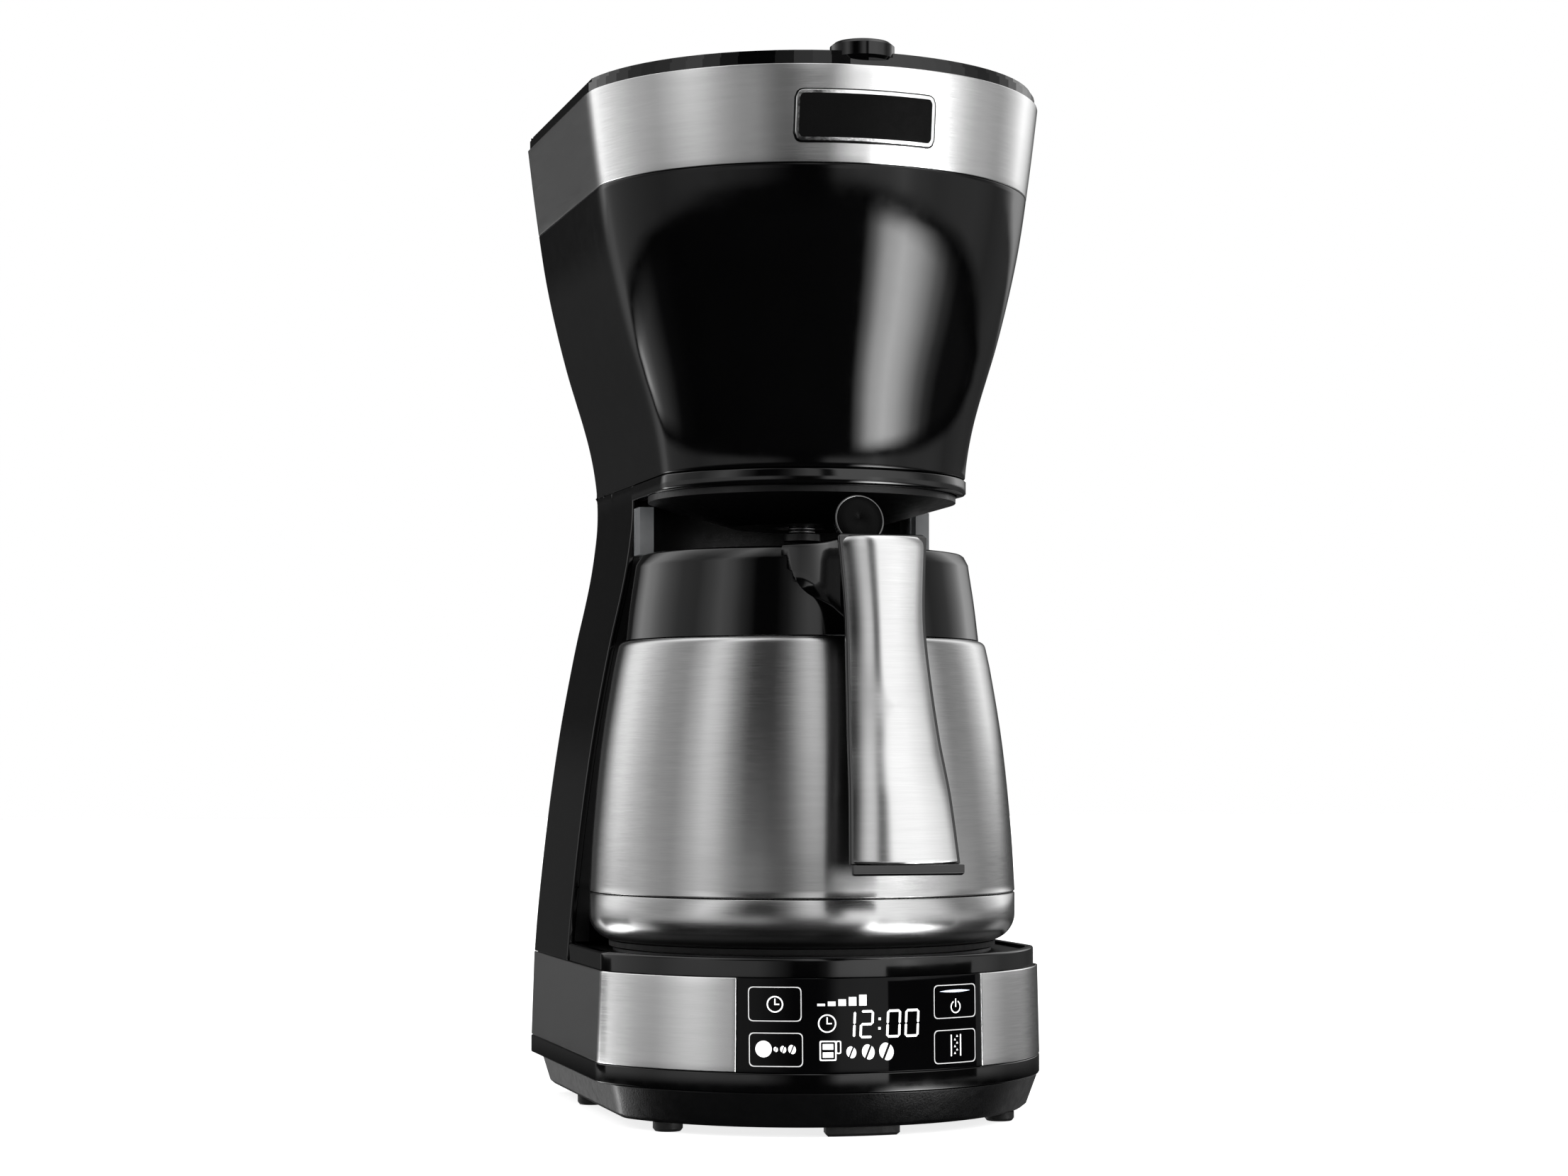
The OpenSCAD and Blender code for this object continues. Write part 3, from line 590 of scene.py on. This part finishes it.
def band_profile(node_name):
    """Front radius against height of a curved panel, without its inner face."""
    return Curve(by_height(node_name, lambda x, y: math.hypot(x, y - AXIS_Y) if y < AXIS_Y
                           and abs(x) < 60 * MM else -1.0))


window_lo, window_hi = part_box("display_window")
window_r = band_profile("display_window")
WINDOW_A = math.asin(window_hi.x / window_r(window_lo.z))


def make_fascia():
    zs = np.linspace(fascia_lo.z, fascia_hi.z, 12)
    widths = Curve(by_height("fascia_left", lambda x, y: abs(x)))
    gap = math.radians(0.25)

    def grid(sign, inset):
        rows = []
        for z in zs:
            w, r = widths(z) - inset, window_r(z) + 0.05 * MM - inset
            a = math.asin(w / r)
            side = [(-w, y) for y in np.linspace(REAR, -r * math.cos(a), 50)[:-1]]
            arc = [(r * math.sin(t), -r * math.cos(t))
                   for t in np.linspace(-a, -WINDOW_A - gap, 40)]
            rows.append([(-sign * x, AXIS_Y + y, z) for x, y in side + arc])
        return rows
    # The fascia panels take the lighter steel, which is painted light
    for sign, name in ((-1, "fascia_left"), (1, "fascia_right")):
        obj = shell(name + "_skin", (grid(sign, 0.0), grid(sign, 0.8 * MM)))
        dress(crisp(obj, 0.45 * MM, angle=40), "band_steel", "machine", name,
              finish="lit_fascia_steel")

    def window_grid(inset):
        return [[((window_r(z) - inset) * math.sin(t), AXIS_Y - (window_r(z) - inset) * math.cos(t), z)
                 for t in np.linspace(-WINDOW_A, WINDOW_A, 90)] for z in zs]
    window = shell("window_skin", (window_grid(0.0), window_grid(0.95 * MM)))
    dress(crisp(window, 0.25 * MM, angle=40), "window_black", "machine", "display_window")


def make_deck():
    """Deck with a rounded rim, recessed inside the rim."""
    r = measured_plan("carafe_deck", deck_hi.z)[1]
    w = 82.5 * MM
    rim, z0, z1 = 3.0 * MM, deck_lo.z, deck_hi.z
    floor_top = z0 + 5.3 * MM
    soft = 0.9 * MM
    top = [(0.0, z0), (0.0, z1 - soft), (soft * 0.3, z1 - soft * 0.3), (soft, z1),
           (rim - 0.5 * MM, z1), (rim, z1 - 0.5 * MM), (rim, floor_top)]
    reach = EDGE - 0.4 * MM
    outer = [at_height(u_outline(w - inset, r - inset, reach, 30, 120, 1), z) for inset, z in top]
    wall = rim + 1.5 * MM
    inner = [at_height(u_outline(w - wall, r - wall, reach, 30, 120, 1), z)
             for z in np.linspace(z0, floor_top, len(top))]
    rim_obj = shell("deck_rim", (outer, inner))
    dress(crisp(rim_obj, 0.2 * MM, angle=50), "housing_black", "machine", "carafe_deck")
    floor_line = u_outline(w - rim, r - rim, EDGE + 20 * MM, 30, 120, 1)
    floor_rings = [at_height(floor_line, z) for z in (z0 + 1 * MM, floor_top)]
    dress(crisp(as_object("deck_floor", *loft_parts(floor_rings)), 0.2 * MM), "soft_black",
          "machine")


# ---- Lip ring -------------------------------------------------------------------------

def make_lip_ring():
    z0, z1 = ring_lo.z, ring_hi.z
    w, r = 58.3 * MM, 61.7 * MM
    thick = 3.3 * MM
    soft = 0.8 * MM
    line = [(soft, z0), (0.0, z0 + soft), (0.0, z1 - soft), (soft, z1)]
    outer = [at_height(u_outline(w - i, r - i, EDGE - 0.5 * MM, 24, 140, 3), z) for i, z in line]
    inner = [at_height(u_outline(w - thick, r - thick, EDGE - 0.5 * MM, 24, 140, 3), z)
             for _, z in line]
    dress(crisp(shell("lip_ring_skin", (outer, inner)), 0.3 * MM, angle=50), "housing_black",
          "machine", "lip_ring")


# ---- Carafe ---------------------------------------------------------------------------

def make_carafe():
    lo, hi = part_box("carafe_shell")
    cup_lo, cup_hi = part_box("carafe_cup")
    sheet = 0.8 * MM
    outline = [p for p in by_height("carafe_shell", lambda x, y: math.hypot(x, y - AXIS_Y))
               if p[0] < hi.z - 2.2 * MM]
    radius = Curve(outline)
    zs = np.linspace(lo.z + 0.5 * MM, hi.z - 3.2 * MM, 40)
    shoulder = radius(zs[-1])
    outer = [(radius(lo.z) - 0.45 * MM, lo.z), (radius(lo.z), lo.z + 0.45 * MM)]
    outer += [(radius(z), z) for z in zs]
    outer += [(shoulder - 2.9 * MM * (1 - math.cos(a)) - 0.1 * MM,
               zs[-1] + 2.9 * MM * math.sin(a)) for a in np.linspace(0.2, math.pi / 2, 8)]
    rim_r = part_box("carafe_collar")[1].x - 1.5 * MM
    outer.append((rim_r, outer[-1][1] + 0.05 * MM))
    inner = [(r - sheet, min(z, outer[-1][1] - sheet)) for r, z in outer[::-1]]
    dress(revolve("carafe_skin", outer + inner), "carafe_steel", "carafe", "carafe_shell")

    r = cup_hi.x
    corner = 10 * MM
    cup = [(0.0002, cup_lo.z)]
    cup += [(r - corner + corner * math.sin(a), cup_lo.z + corner * (1 - math.cos(a)))
            for a in np.linspace(0, math.pi / 2, 16)]
    cup += [(r, cup_hi.z - 0.45 * MM), (r - 0.45 * MM, cup_hi.z)]
    back = [(max(a - sheet, 0.0002), max(z, cup_lo.z + sheet)) for a, z in cup[::-1]]
    dress(revolve("cup_skin", cup + back), "carafe_steel", "carafe", "carafe_cup")


def handle_curves():
    c, s = math.cos(-TURN), math.sin(-TURN)

    def forward(x, y):
        return -(x * s + (y - AXIS_Y) * c)

    def across(x, y):
        return abs(x * c - (y - AXIS_Y) * s)
    grip_r = Curve(by_height("handle_grip", forward))
    grip_a = Curve(by_height("handle_grip", across))
    plate_r = Curve(by_height("handle_plate", forward))
    plate_a = Curve(by_height("handle_plate", across))
    return grip_r, grip_a, plate_r, plate_a


def make_handle():
    grip_r, grip_a, plate_r, plate_a = handle_curves()
    lo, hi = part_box("handle_grip")
    plate_lo, plate_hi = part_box("handle_plate")
    cap_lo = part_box("handle_cap")[0]

    crown = 3.6 * MM

    def grip_ring(z, inset=0.0):
        a, r = grip_a(z) - inset, grip_r(z) - 1.5 * MM - inset
        back = [(a * math.cos(t), -r + (12.5 * MM - inset) * math.sin(t))
                for t in np.radians(np.linspace(8, 172, 22))]
        return turned([(x, y, z) for x, y in [(-a, -r), (a, -r)] + back])
    zs = np.linspace(lo.z, hi.z - 1.2 * MM, 60)
    rings = [grip_ring(z) for z in zs]
    rings += [[(x, y, hi.z) for x, y, _ in grip_ring(hi.z - 0.01 * MM, 1.0 * MM)]]
    grip = as_object("grip_skin", *loft_parts(rings))
    dress(crisp(grip, 0.5 * MM, angle=40), "carafe_black", "carafe", "handle_grip")

    def plate_ring(z, inset):
        a, apex = plate_a(z) - inset, plate_r(z) - inset * 0.4
        xs = np.linspace(-1, 1, 44)
        face = [(a * x, -(apex - crown * (0.9 * x**2 + 0.1 * x**8))) for x in xs]
        base = -(apex - crown - 0.3 * MM)
        return turned([(x, y, z) for x, y in face + [(a, base), (-a, base)]])
    top, bottom = plate_hi.z, plate_lo.z
    ends = [(bottom, 1.0), (bottom + 0.35 * MM, 0.35), (bottom + 1.0 * MM, 0.0)]
    rings = [plate_ring(z, inset * MM) for z, inset in ends]
    rings += [plate_ring(z, 0.0) for z in np.linspace(bottom + 2 * MM, top - 4 * MM, 70)]
    round_top = np.linspace(0, math.pi / 2, 8)[1:]
    rings += [plate_ring(top - 4 * MM + 4 * MM * math.sin(t) - 0.02 * MM,
                         3.0 * MM * (1 - math.cos(t))) for t in round_top]
    plate = as_object("plate_skin", *loft_parts(rings))
    dress(crisp(plate, 0.35 * MM, angle=50), "handle_steel", "carafe", "handle_plate")

    def cap_ring(z, inset):
        a, r = 20.1 * MM - inset, grip_r(lo.z) + 2.0 * MM - inset
        back = [(a * math.cos(t), -r + 13.5 * MM * math.sin(t))
                for t in np.radians(np.linspace(8, 172, 22))]
        return turned([(x, y, z) for x, y in [(-a, -r), (a, -r)] + back])
    cap_top = lo.z - 0.05 * MM
    cap = as_object("cap_skin", *loft_parts([
        cap_ring(cap_lo.z, 0.7 * MM), cap_ring(cap_lo.z + 0.6 * MM, 0.0),
        cap_ring(cap_top, 0.0)]))
    dress(crisp(cap, 0.3 * MM), "carafe_black", "carafe", "handle_cap")


def combined(obj, others, operation):
    """Adds the other solids to a solid or cuts them from it, and removes the others."""
    for other in others:
        step = obj.modifiers.new("step", "BOOLEAN")
        step.operation, step.solver, step.object = operation, "EXACT", other
    bpy.context.view_layer.update()
    made = obj.evaluated_get(bpy.context.evaluated_depsgraph_get())
    mesh = bpy.data.meshes.new_from_object(made)
    obj.modifiers.clear()
    obj.data = mesh
    for other in others:
        bpy.data.objects.remove(other)
    return obj


def turned_box(name, low, high):
    corners = [(x, y) for x, y in ((low[0], low[1]), (high[0], low[1]), (high[0], high[1]),
                                   (low[0], high[1]))]
    return as_object(name, *loft_parts([turned([(x * MM, y * MM, z * MM) for x, y in corners])
                                        for z in (low[2], high[2])]))


def make_collar():
    """Collar turned about the axis, with an arm that flares into it, and the lever's recess."""
    lo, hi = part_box("carafe_collar")
    outline = by_height("carafe_collar", lambda x, y: math.hypot(x, y - AXIS_Y)
                        if y > AXIS_Y + 20 * MM else -1.0)
    outside = [p for p in outline if p[1] > 61.5 * MM and p[0] > lo.z + 4 * MM]
    outside = Curve([(lo.z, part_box("carafe_shell")[1].x - 13.6 * MM)] + outside)
    levels = np.linspace(lo.z, hi.z - 5.5 * MM, 26)
    outer = [(outside(z), z) for z in levels]
    edge = hi.z - 1.6 * MM
    outer += [(60.9 * MM, edge - 0.9 * MM), (59.9 * MM, edge - 0.2 * MM), (58.6 * MM, edge)]
    inner = [(54 * MM, edge), (54 * MM, edge - 9.5 * MM), (59 * MM, edge - 13 * MM),
             (62.2 * MM, lo.z + 3.4 * MM), (45 * MM, lo.z + 3.4 * MM), (45 * MM, lo.z)]
    body = revolve("collar_skin", outer + inner)

    places = [56, 60, 64, 69, 75, 82, 89]
    widths = Curve(list(zip(places, [25.0, 21.4, 18.6, 16.3, 14.8, 14.1, 13.7])))
    bottoms = Curve(list(zip(places, [190.5, 189.8, 188.6, 186.4, 183.9, 181.0, 178.4])))
    rings = []
    for y in np.linspace(56, 89, 30):
        w, z0, z1 = widths(y), bottoms(y), 209.3 + (y - 56) / 33
        ring = rounded([(-w, z0), (w, z0), (w, z1), (-w, z1)], [10.0, 10.0, 1.6, 1.6], 14)
        rings.append(turned([(x * MM, -y * MM, z * MM) for x, z in ring]))
    arm = as_object("arm", *loft_parts(rings))
    inside = revolve("inside", [(0.0001, 0.17), (60.6 * MM, 0.17), (60.6 * MM, 0.22),
                                (0.0001, 0.22)], 96)
    combined(arm, [inside], "DIFFERENCE")
    combined(body, [arm], "UNION")
    combined(body, [turned_box("slot", (-4.6, -63, 203), (4.6, -50, 215)),
                    turned_box("recess", (-10.6, -82, 205.4), (10.6, -62, 215))], "DIFFERENCE")
    body.data.shade_smooth()
    body.data.set_sharp_from_angle(angle=math.radians(38))
    dress(crisp(body, 0.35 * MM, angle=50), "carafe_black", "carafe", "carafe_collar")


def make_lever_pad():
    """Satin face and thin bright rim on the pad of the thumb lever."""
    lean = math.radians(78)
    face_y, face_z = -69.14 * MM, 217.74 * MM

    def on_pad(r, t, lift):
        x, up = r * math.sin(t), r * math.cos(t)
        return (x, face_y - lift * math.sin(lean) + up * math.cos(lean),
                face_z + lift * math.cos(lean) + up * math.sin(lean))

    def turned_rings(name, outline):
        ts = np.linspace(0, 2 * math.pi, 73)[:-1]
        rings = [turned([on_pad(r, t, lift) for r, lift in outline]) for t in ts]
        m = len(outline)
        verts = [p for ring in rings for p in ring]
        faces = [(k * m + i, ((k + 1) % 72) * m + i, ((k + 1) % 72) * m + (i + 1) % m,
                  k * m + (i + 1) % m) for k in range(72) for i in range(m)]
        return as_object(name, verts, faces)
    rim = turned_rings("lever_rim", [((8.72 + 0.3 * math.cos(a)) * MM, 0.3 * math.sin(a) * MM)
                                     for a in np.linspace(0, 2 * math.pi, 9)[:-1]])
    dress(rim, "handle_steel", "thumb_lever", finish="pad_rim")
    face = turned_rings("lever_face", [(0.00001, -0.3 * MM), (8.6 * MM, -0.3 * MM),
                                       (8.6 * MM, 0.06 * MM), (5 * MM, 0.1 * MM),
                                       (0.00001, 0.12 * MM)])
    dress(face, "carafe_black", "thumb_lever", finish="pad_black")


# ---- Display marks --------------------------------------------------------------------

WINDOW_MID = (window_lo.z + window_hi.z) / 2


def fine_line(points, longest=0.8):
    """Outline with its long straight parts divided, so that it follows the window's curve."""
    out = []
    for i, a in enumerate(points):
        b = points[(i + 1) % len(points)]
        parts = max(1, math.ceil(math.hypot(b[0] - a[0], b[1] - a[1]) / longest))
        out += [(a[0] + (b[0] - a[0]) * k / parts, a[1] + (b[1] - a[1]) * k / parts)
                for k in range(parts)]
    return out


def on_window(points, lift):
    """Wraps (along the window, height above its middle) millimetres onto the window."""
    out = []
    for s, h in points:
        z = WINDOW_MID + h * MM
        r = window_r(z) + lift
        out.append((r * math.sin(s * MM / r), AXIS_Y - r * math.cos(s * MM / r), z))
    return out


def sheet_between(outer, inner, lift=0.1 * MM, close=True):
    """Thin raised line between two outlines of equal length."""
    n = len(outer)
    top = on_window(outer, lift) + on_window(inner, lift)
    low = on_window(outer, -0.05 * MM) + on_window(inner, -0.05 * MM)
    faces = []
    for i in range(n if close else n - 1):
        j = (i + 1) % n
        faces += [(i, j, n + j, n + i), (2 * n + i, 3 * n + i, 3 * n + j, 2 * n + j),
                  (i, 2 * n + i, 2 * n + j, j), (n + i, n + j, 3 * n + j, 3 * n + i)]
    if not close:
        faces += [(0, n, 3 * n, 2 * n), (n - 1, 3 * n - 1, 4 * n - 1, 2 * n - 1)]
    return top + low, faces


def filled(points, lift=0.1 * MM):
    n = len(points)
    verts = on_window(points, lift) + on_window(points, -0.05 * MM)
    faces = [tuple(range(n)), tuple(range(2 * n - 1, n - 1, -1))]
    faces += [(i, n + i, n + (i + 1) % n, (i + 1) % n) for i in range(n)]
    return verts, faces


def ring_mark(cx, cy, r, width, start=0.0, end=360.0):
    close = end - start > 359
    angles = np.radians(np.linspace(start, end, 37))
    if close:
        angles = angles[:-1]
    outer = [(cx + r * math.cos(a), cy + r * math.sin(a)) for a in angles]
    inner = [(cx + (r - width) * math.cos(a), cy + (r - width) * math.sin(a)) for a in angles]
    return sheet_between(outer, inner, close=close)


def box_mark(x0, y0, x1, y1, corner, width):
    middle = ((x0 + x1) / 2, (y0 + y1) / 2)
    outer = fine_line(rounded([(x0, y0), (x1, y0), (x1, y1), (x0, y1)], [corner] * 4, 6))
    shrink = [1 - width / (half or 1) for half in ((x1 - x0) / 2, (y1 - y0) / 2)]
    inner = [(middle[0] + (x - middle[0]) * shrink[0], middle[1] + (y - middle[1]) * shrink[1])
             for x, y in outer]
    return sheet_between(outer, inner)


def bar(x0, y0, x1, y1):
    return filled([(x0, y0), (x1, y0), (x1, y1), (x0, y1)])


def clock(cx, cy, r):
    return [ring_mark(cx, cy, r, 0.45), bar(cx - 0.2, cy - 0.2, cx + 0.2, cy + r * 0.68),
            bar(cx - 0.2, cy - 0.25, cx + r * 0.52, cy + 0.2)]


def bean(cx, cy, rx, ry):
    """Coffee bean: an oval in two halves, with the slanted furrow left open."""
    halves = []
    lean = math.radians(62)
    for sign in (-1, 1):
        points = []
        for t in np.linspace(0.0, math.pi, 13):
            a = lean + sign * t
            points.append((cx + rx * math.cos(a), cy + ry * math.sin(a)))
        shift = (-math.sin(lean) * sign, math.cos(lean) * sign)
        cut = 0.2 * rx
        halves.append(filled([(x + shift[0] * cut, y + shift[1] * cut) for x, y in points]))
    return halves


def digit(cx, cy, width, height, segments, lean=0.05):
    """Seven-segment digit, as a display shows numbers."""
    t = 0.86
    a, b = width / 2, height / 2
    gap = 0.22

    def level(y):
        return [(-a + gap + t / 2, y), (a - gap - t / 2, y)]

    def upright(x, y0, y1):
        return [(x, y0 + gap), (x, y1 - gap)]
    places = {"a": level(b - t / 2), "g": level(0), "d": level(-b + t / 2),
              "f": upright(-a + t / 2, 0, b - t / 2), "b": upright(a - t / 2, 0, b - t / 2),
              "e": upright(-a + t / 2, -b + t / 2, 0), "c": upright(a - t / 2, -b + t / 2, 0)}
    out = []
    for name in segments:
        (x0, y0), (x1, y1) = places[name]
        h = t / 2
        if abs(y1 - y0) < 1e-9:
            points = [(x0 - h * .4, y0), (x0 + h * .5, y0 - h), (x1 - h * .5, y0 - h),
                      (x1 + h * .4, y0), (x1 - h * .5, y0 + h), (x0 + h * .5, y0 + h)]
        else:
            points = [(x0, y0 - h * .4), (x0 + h, y0 + h * .5), (x0 + h, y1 - h * .5),
                      (x0, y1 + h * .4), (x0 - h, y1 - h * .5), (x0 - h, y0 + h * .5)]
        out.append(filled([(cx + x + lean * y, cy + y) for x, y in points]))
    return out


def make_display():
    frames = [box_mark(-43.0, 1.5, -24.2, 13.6, 1.8, 0.32),
              box_mark(-42.8, -14.3, -23.8, -2.4, 1.8, 0.32),
              box_mark(24.9, 1.3, 44.3, 13.2, 1.8, 0.32),
              box_mark(24.9, -14.6, 44.1, -2.7, 1.8, 0.32)]
    marks = []
    marks += clock(-33.5, 7.5, 2.9)
    marks += clock(-15.3, 0.8, 3.2)
    marks.append(filled([(-37.6 + 2.9 * math.cos(a), -8.1 + 2.9 * math.sin(a))
                         for a in np.linspace(0, 2 * math.pi, 33)[:-1]]))
    for x, r in ((-33.3, 0.65), (-30.7, 0.9), (-27.6, 1.15)):
        marks += bean(x, -8.2, r, r * 1.3)
    for k in range(5):
        marks.append(bar(-18.7 + k * 3.7, 6.9, -16.0 + k * 3.7, 7.7 + k * 0.75))
    marks += digit(-7.5, 0.4, 4.6, 9.8, "bc")
    marks += digit(-1.2, 0.4, 5.0, 9.8, "abged")
    marks += [bar(3.1, 1.7, 4.0, 2.6), bar(3.0, -1.6, 3.9, -0.7)]
    marks += digit(8.8, 0.4, 5.4, 9.8, "abcdef")
    marks += digit(15.9, 0.4, 5.6, 9.8, "abcdef")
    marks += [box_mark(-18.0, -12.2, -12.1, -5.2, 0.6, 0.45), bar(-16.9, -8.3, -13.2, -6.3),
              bar(-16.9, -11.1, -13.2, -9.2), box_mark(-12.3, -9.8, -10.4, -5.2, 0.7, 0.4)]
    for x, rx, ry in ((-6.8, 1.5, 1.95), (-0.7, 1.95, 2.5), (6.0, 2.3, 2.9)):
        marks += bean(x, -9.3, rx, ry)
    marks += [ring_mark(34.6, 5.3, 2.3, 0.42, 118, 422), bar(34.4, 5.2, 34.8, 8.2)]
    marks += [bar(32.2, -12.1, 32.7, -4.5), bar(36.5, -12.1, 37.0, -4.5)]
    for k in range(6):
        x = 33.7 if k % 2 == 0 else 34.7
        y = -11.4 + k * 1.2
        marks.append(filled([(x, y), (x + 0.9, y + 0.05), (x + 0.4, y + 0.8)]))
    for name, parts, material in (("key_outlines", frames, "mark_grey"),
                                  ("display_marks", marks, "mark_white")):
        obj = as_object(name, *join_parts(parts))
        obj.data.materials.append(FINISHES[material])
        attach(obj, "machine")
    xs = np.linspace(-1, 1, 41)
    upper = [(34.5 + 7.0 * x, 10.9 + 0.45 * (1.02 - x * x)) for x in xs]
    lower = [(34.5 + 7.0 * x, 10.9 - 0.45 * (1.02 - x * x)) for x in xs]
    light = as_object("key_light", *sheet_between(upper, lower, close=False))
    light.data.materials.append(FINISHES["mark_blue"])
    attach(light, "machine")


# ---- Studio ---------------------------------------------------------------------------

CAMERA_TURN = math.radians(-15.3)


def make_studio():
    bpy.context.scene.view_settings.view_transform = "Standard"
    camera = bpy.data.objects.new("camera", bpy.data.cameras.new("camera"))
    bpy.context.scene.collection.objects.link(camera)
    camera.location = (-0.3231, -1.1528, 0.1322)
    camera.rotation_euler = (math.pi / 2, 0, CAMERA_TURN)
    camera.data.lens = 73.24
    camera.data.sensor_width = 36
    camera.data.shift_y = 0.1099
    bpy.context.scene.camera = camera

    mesh = bpy.data.meshes.new("floor")
    mesh.from_pydata([(-6, -6, 0), (6, -6, 0), (6, 6, 0), (-6, 6, 0)], [], [(0, 1, 2, 3)])
    floor = bpy.data.objects.new("floor", mesh)
    bpy.context.scene.collection.objects.link(floor)
    mat = bpy.data.materials.new("floor_paper")
    mat.use_nodes = True
    shader = mat.node_tree.nodes["Principled BSDF"]
    shader.inputs["Base Color"].default_value = (0.85, 0.85, 0.85, 1)
    shader.inputs["Roughness"].default_value = 0.9
    shader.inputs["Emission Color"].default_value = (1, 1, 1, 1)
    shader.inputs["Emission Strength"].default_value = 0.8
    floor.data.materials.append(mat)
    floor.visible_glossy = False


def make_flags():
    """Low dark cards at both sides, which keep the floor-level light off cup and base."""
    reach, top, count = 0.26, 0.056, 40
    for name, first, last in (("flag_right", 34, 77), ("flag_left", -124, -92)):
        turns = np.radians(np.linspace(first, last, count)) + CAMERA_TURN
        verts = [(reach * math.sin(t), AXIS_Y - reach * math.cos(t), z)
                 for z in (0.001, top) for t in turns]
        mesh = bpy.data.meshes.new(name)
        mesh.from_pydata(verts, [], grid_faces(2, count))
        flag = bpy.data.objects.new(name, mesh)
        bpy.context.scene.collection.objects.link(flag)
        flag.data.materials.append(MATERIALS["rubber_black"])
        flag.visible_camera = False
        flag.visible_diffuse = False
        flag.visible_shadow = False


BRIGHTEST = 20.0
# Brightness of the studio by turn from the camera, in degrees, for three height zones
LEVEL_LIGHT = [(-180, .05), (-150, .06), (-136, .45), (-123, .8), (-104, .66), (-88, .62),
               (-75, .56), (-62, .78), (-50, .85), (-41, .8), (-33, .75), (-22, .7),
               (-11, .25), (-4, .01), (7, .01), (12, .14), (18, 1.3), (30, 1.5), (44, 1.5),
               (52, 2.0), (60, 1.3), (72, .9), (83, .9), (99, .7), (115, .3), (132, .2),
               (150, .08), (180, .03)]
HIGH_LIGHT = [(-180, .015), (-150, .03), (-141, .5), (-131, 1.3), (-120, 1.35), (-106, .85),
              (-90, .44), (-75, .38), (-64, .75), (-56, 1.15), (-48, .85), (-41, .35),
              (-31, .01), (-17, .01), (-9, .16), (-3, .5), (4, .9), (11, .9), (15, .06),
              (20, .08), (25, 1.5), (50, 1.5), (64, 1.3), (78, 1.05), (88, .55), (95, .28),
              (112, .38), (125, .9), (138, 1.6), (150, .9), (165, .1)]
LOW_LIGHT = [(-180, .08), (-150, .12), (-136, 3.0), (-125, 5.6), (-113, 2.6), (-104, 1.0),
             (-88, .05), (-75, 0), (33, .04), (39, 4.2), (46, 14), (56, 19), (64, 14.5),
             (71, 9), (79, 3.4), (87, .8), (96, .08), (124, .03), (137, .4), (150, .2),
             (180, .08)]


def light_curve(tree, turn, stops):
    factor = calc(tree, "DIVIDE", calc(tree, "ADD", turn, 180.0), 360.0)
    made = node(tree, "ValToRGB", {"Fac": factor})
    elements = made.color_ramp.elements
    for index, (angle, bright) in enumerate(stops):
        place = (angle + 180) / 360
        if index < 2:
            elements[index].position = place
            element = elements[index]
        else:
            element = elements.new(place)
        element.color = (bright / BRIGHTEST,) * 3 + (1,)
    return made.outputs["Color"]


def make_world():
    """White paper behind, and large soft panels left and right with a dark gap between."""
    world = bpy.data.worlds.new("studio")
    bpy.context.scene.world = world
    world.use_nodes = True
    tree = world.node_tree
    tree.nodes.clear()
    direction = node(tree, "TexCoord").outputs["Generated"]
    xyz = node(tree, "SeparateXYZ", {"Vector": direction}).outputs
    ahead = calc(tree, "MULTIPLY", xyz["Y"], -1.0)
    azimuth = calc(tree, "MULTIPLY", calc(tree, "ARCTAN2", xyz["X"], ahead), 180 / math.pi)
    turn = calc(tree, "SUBTRACT", azimuth, math.degrees(CAMERA_TURN))
    height = calc(tree, "MULTIPLY", calc(tree, "ARCSINE", xyz["Z"]), 180 / math.pi)

    high = ranged(tree, height, 2.8, 4.6, 0.0, 1.0)
    level = calc(tree, "MULTIPLY", ranged(tree, height, -6.6, -4.6, 0.0, 1.0),
                 calc(tree, "SUBTRACT", 1.0, high))
    low = calc(tree, "MULTIPLY", ranged(tree, height, -10.4, -7.0, 1.0, 0.0),
               ranged(tree, height, -34.0, -29.0, 0.0, 1.0))
    high = calc(tree, "MULTIPLY", high, ranged(tree, height, 62.0, 84.0, 1.0, 0.4))
    overhead = ranged(tree, height, 40.0, 60.0, 0.0002, 0.03)
    total = overhead
    for stops, share in ((LEVEL_LIGHT, level), (HIGH_LIGHT, high), (LOW_LIGHT, low)):
        part = calc(tree, "MULTIPLY", light_curve(tree, turn, stops), share)
        total = calc(tree, "ADD", total, part)
    total = calc(tree, "MULTIPLY", total, BRIGHTEST)
    studio = node(tree, "Background", {"Color": (1, 1, 1, 1), "Strength": total})
    paper = node(tree, "Background", {"Color": (1, 1, 1, 1), "Strength": 1.0})
    seen = node(tree, "LightPath").outputs["Is Camera Ray"]
    mix = node(tree, "MixShader", {0: seen, 1: studio.outputs[0], 2: paper.outputs[0]})
    out = node(tree, "OutputWorld")
    tree.links.new(mix.outputs[0], out.inputs["Surface"])


make_studio()
make_flags()
make_world()
make_housing()
make_rear_cover()
make_band()
make_badge()
make_base()
make_fascia()
make_deck()
make_lip_ring()
make_carafe()
make_collar()
make_handle()
make_lever_pad()
make_display()
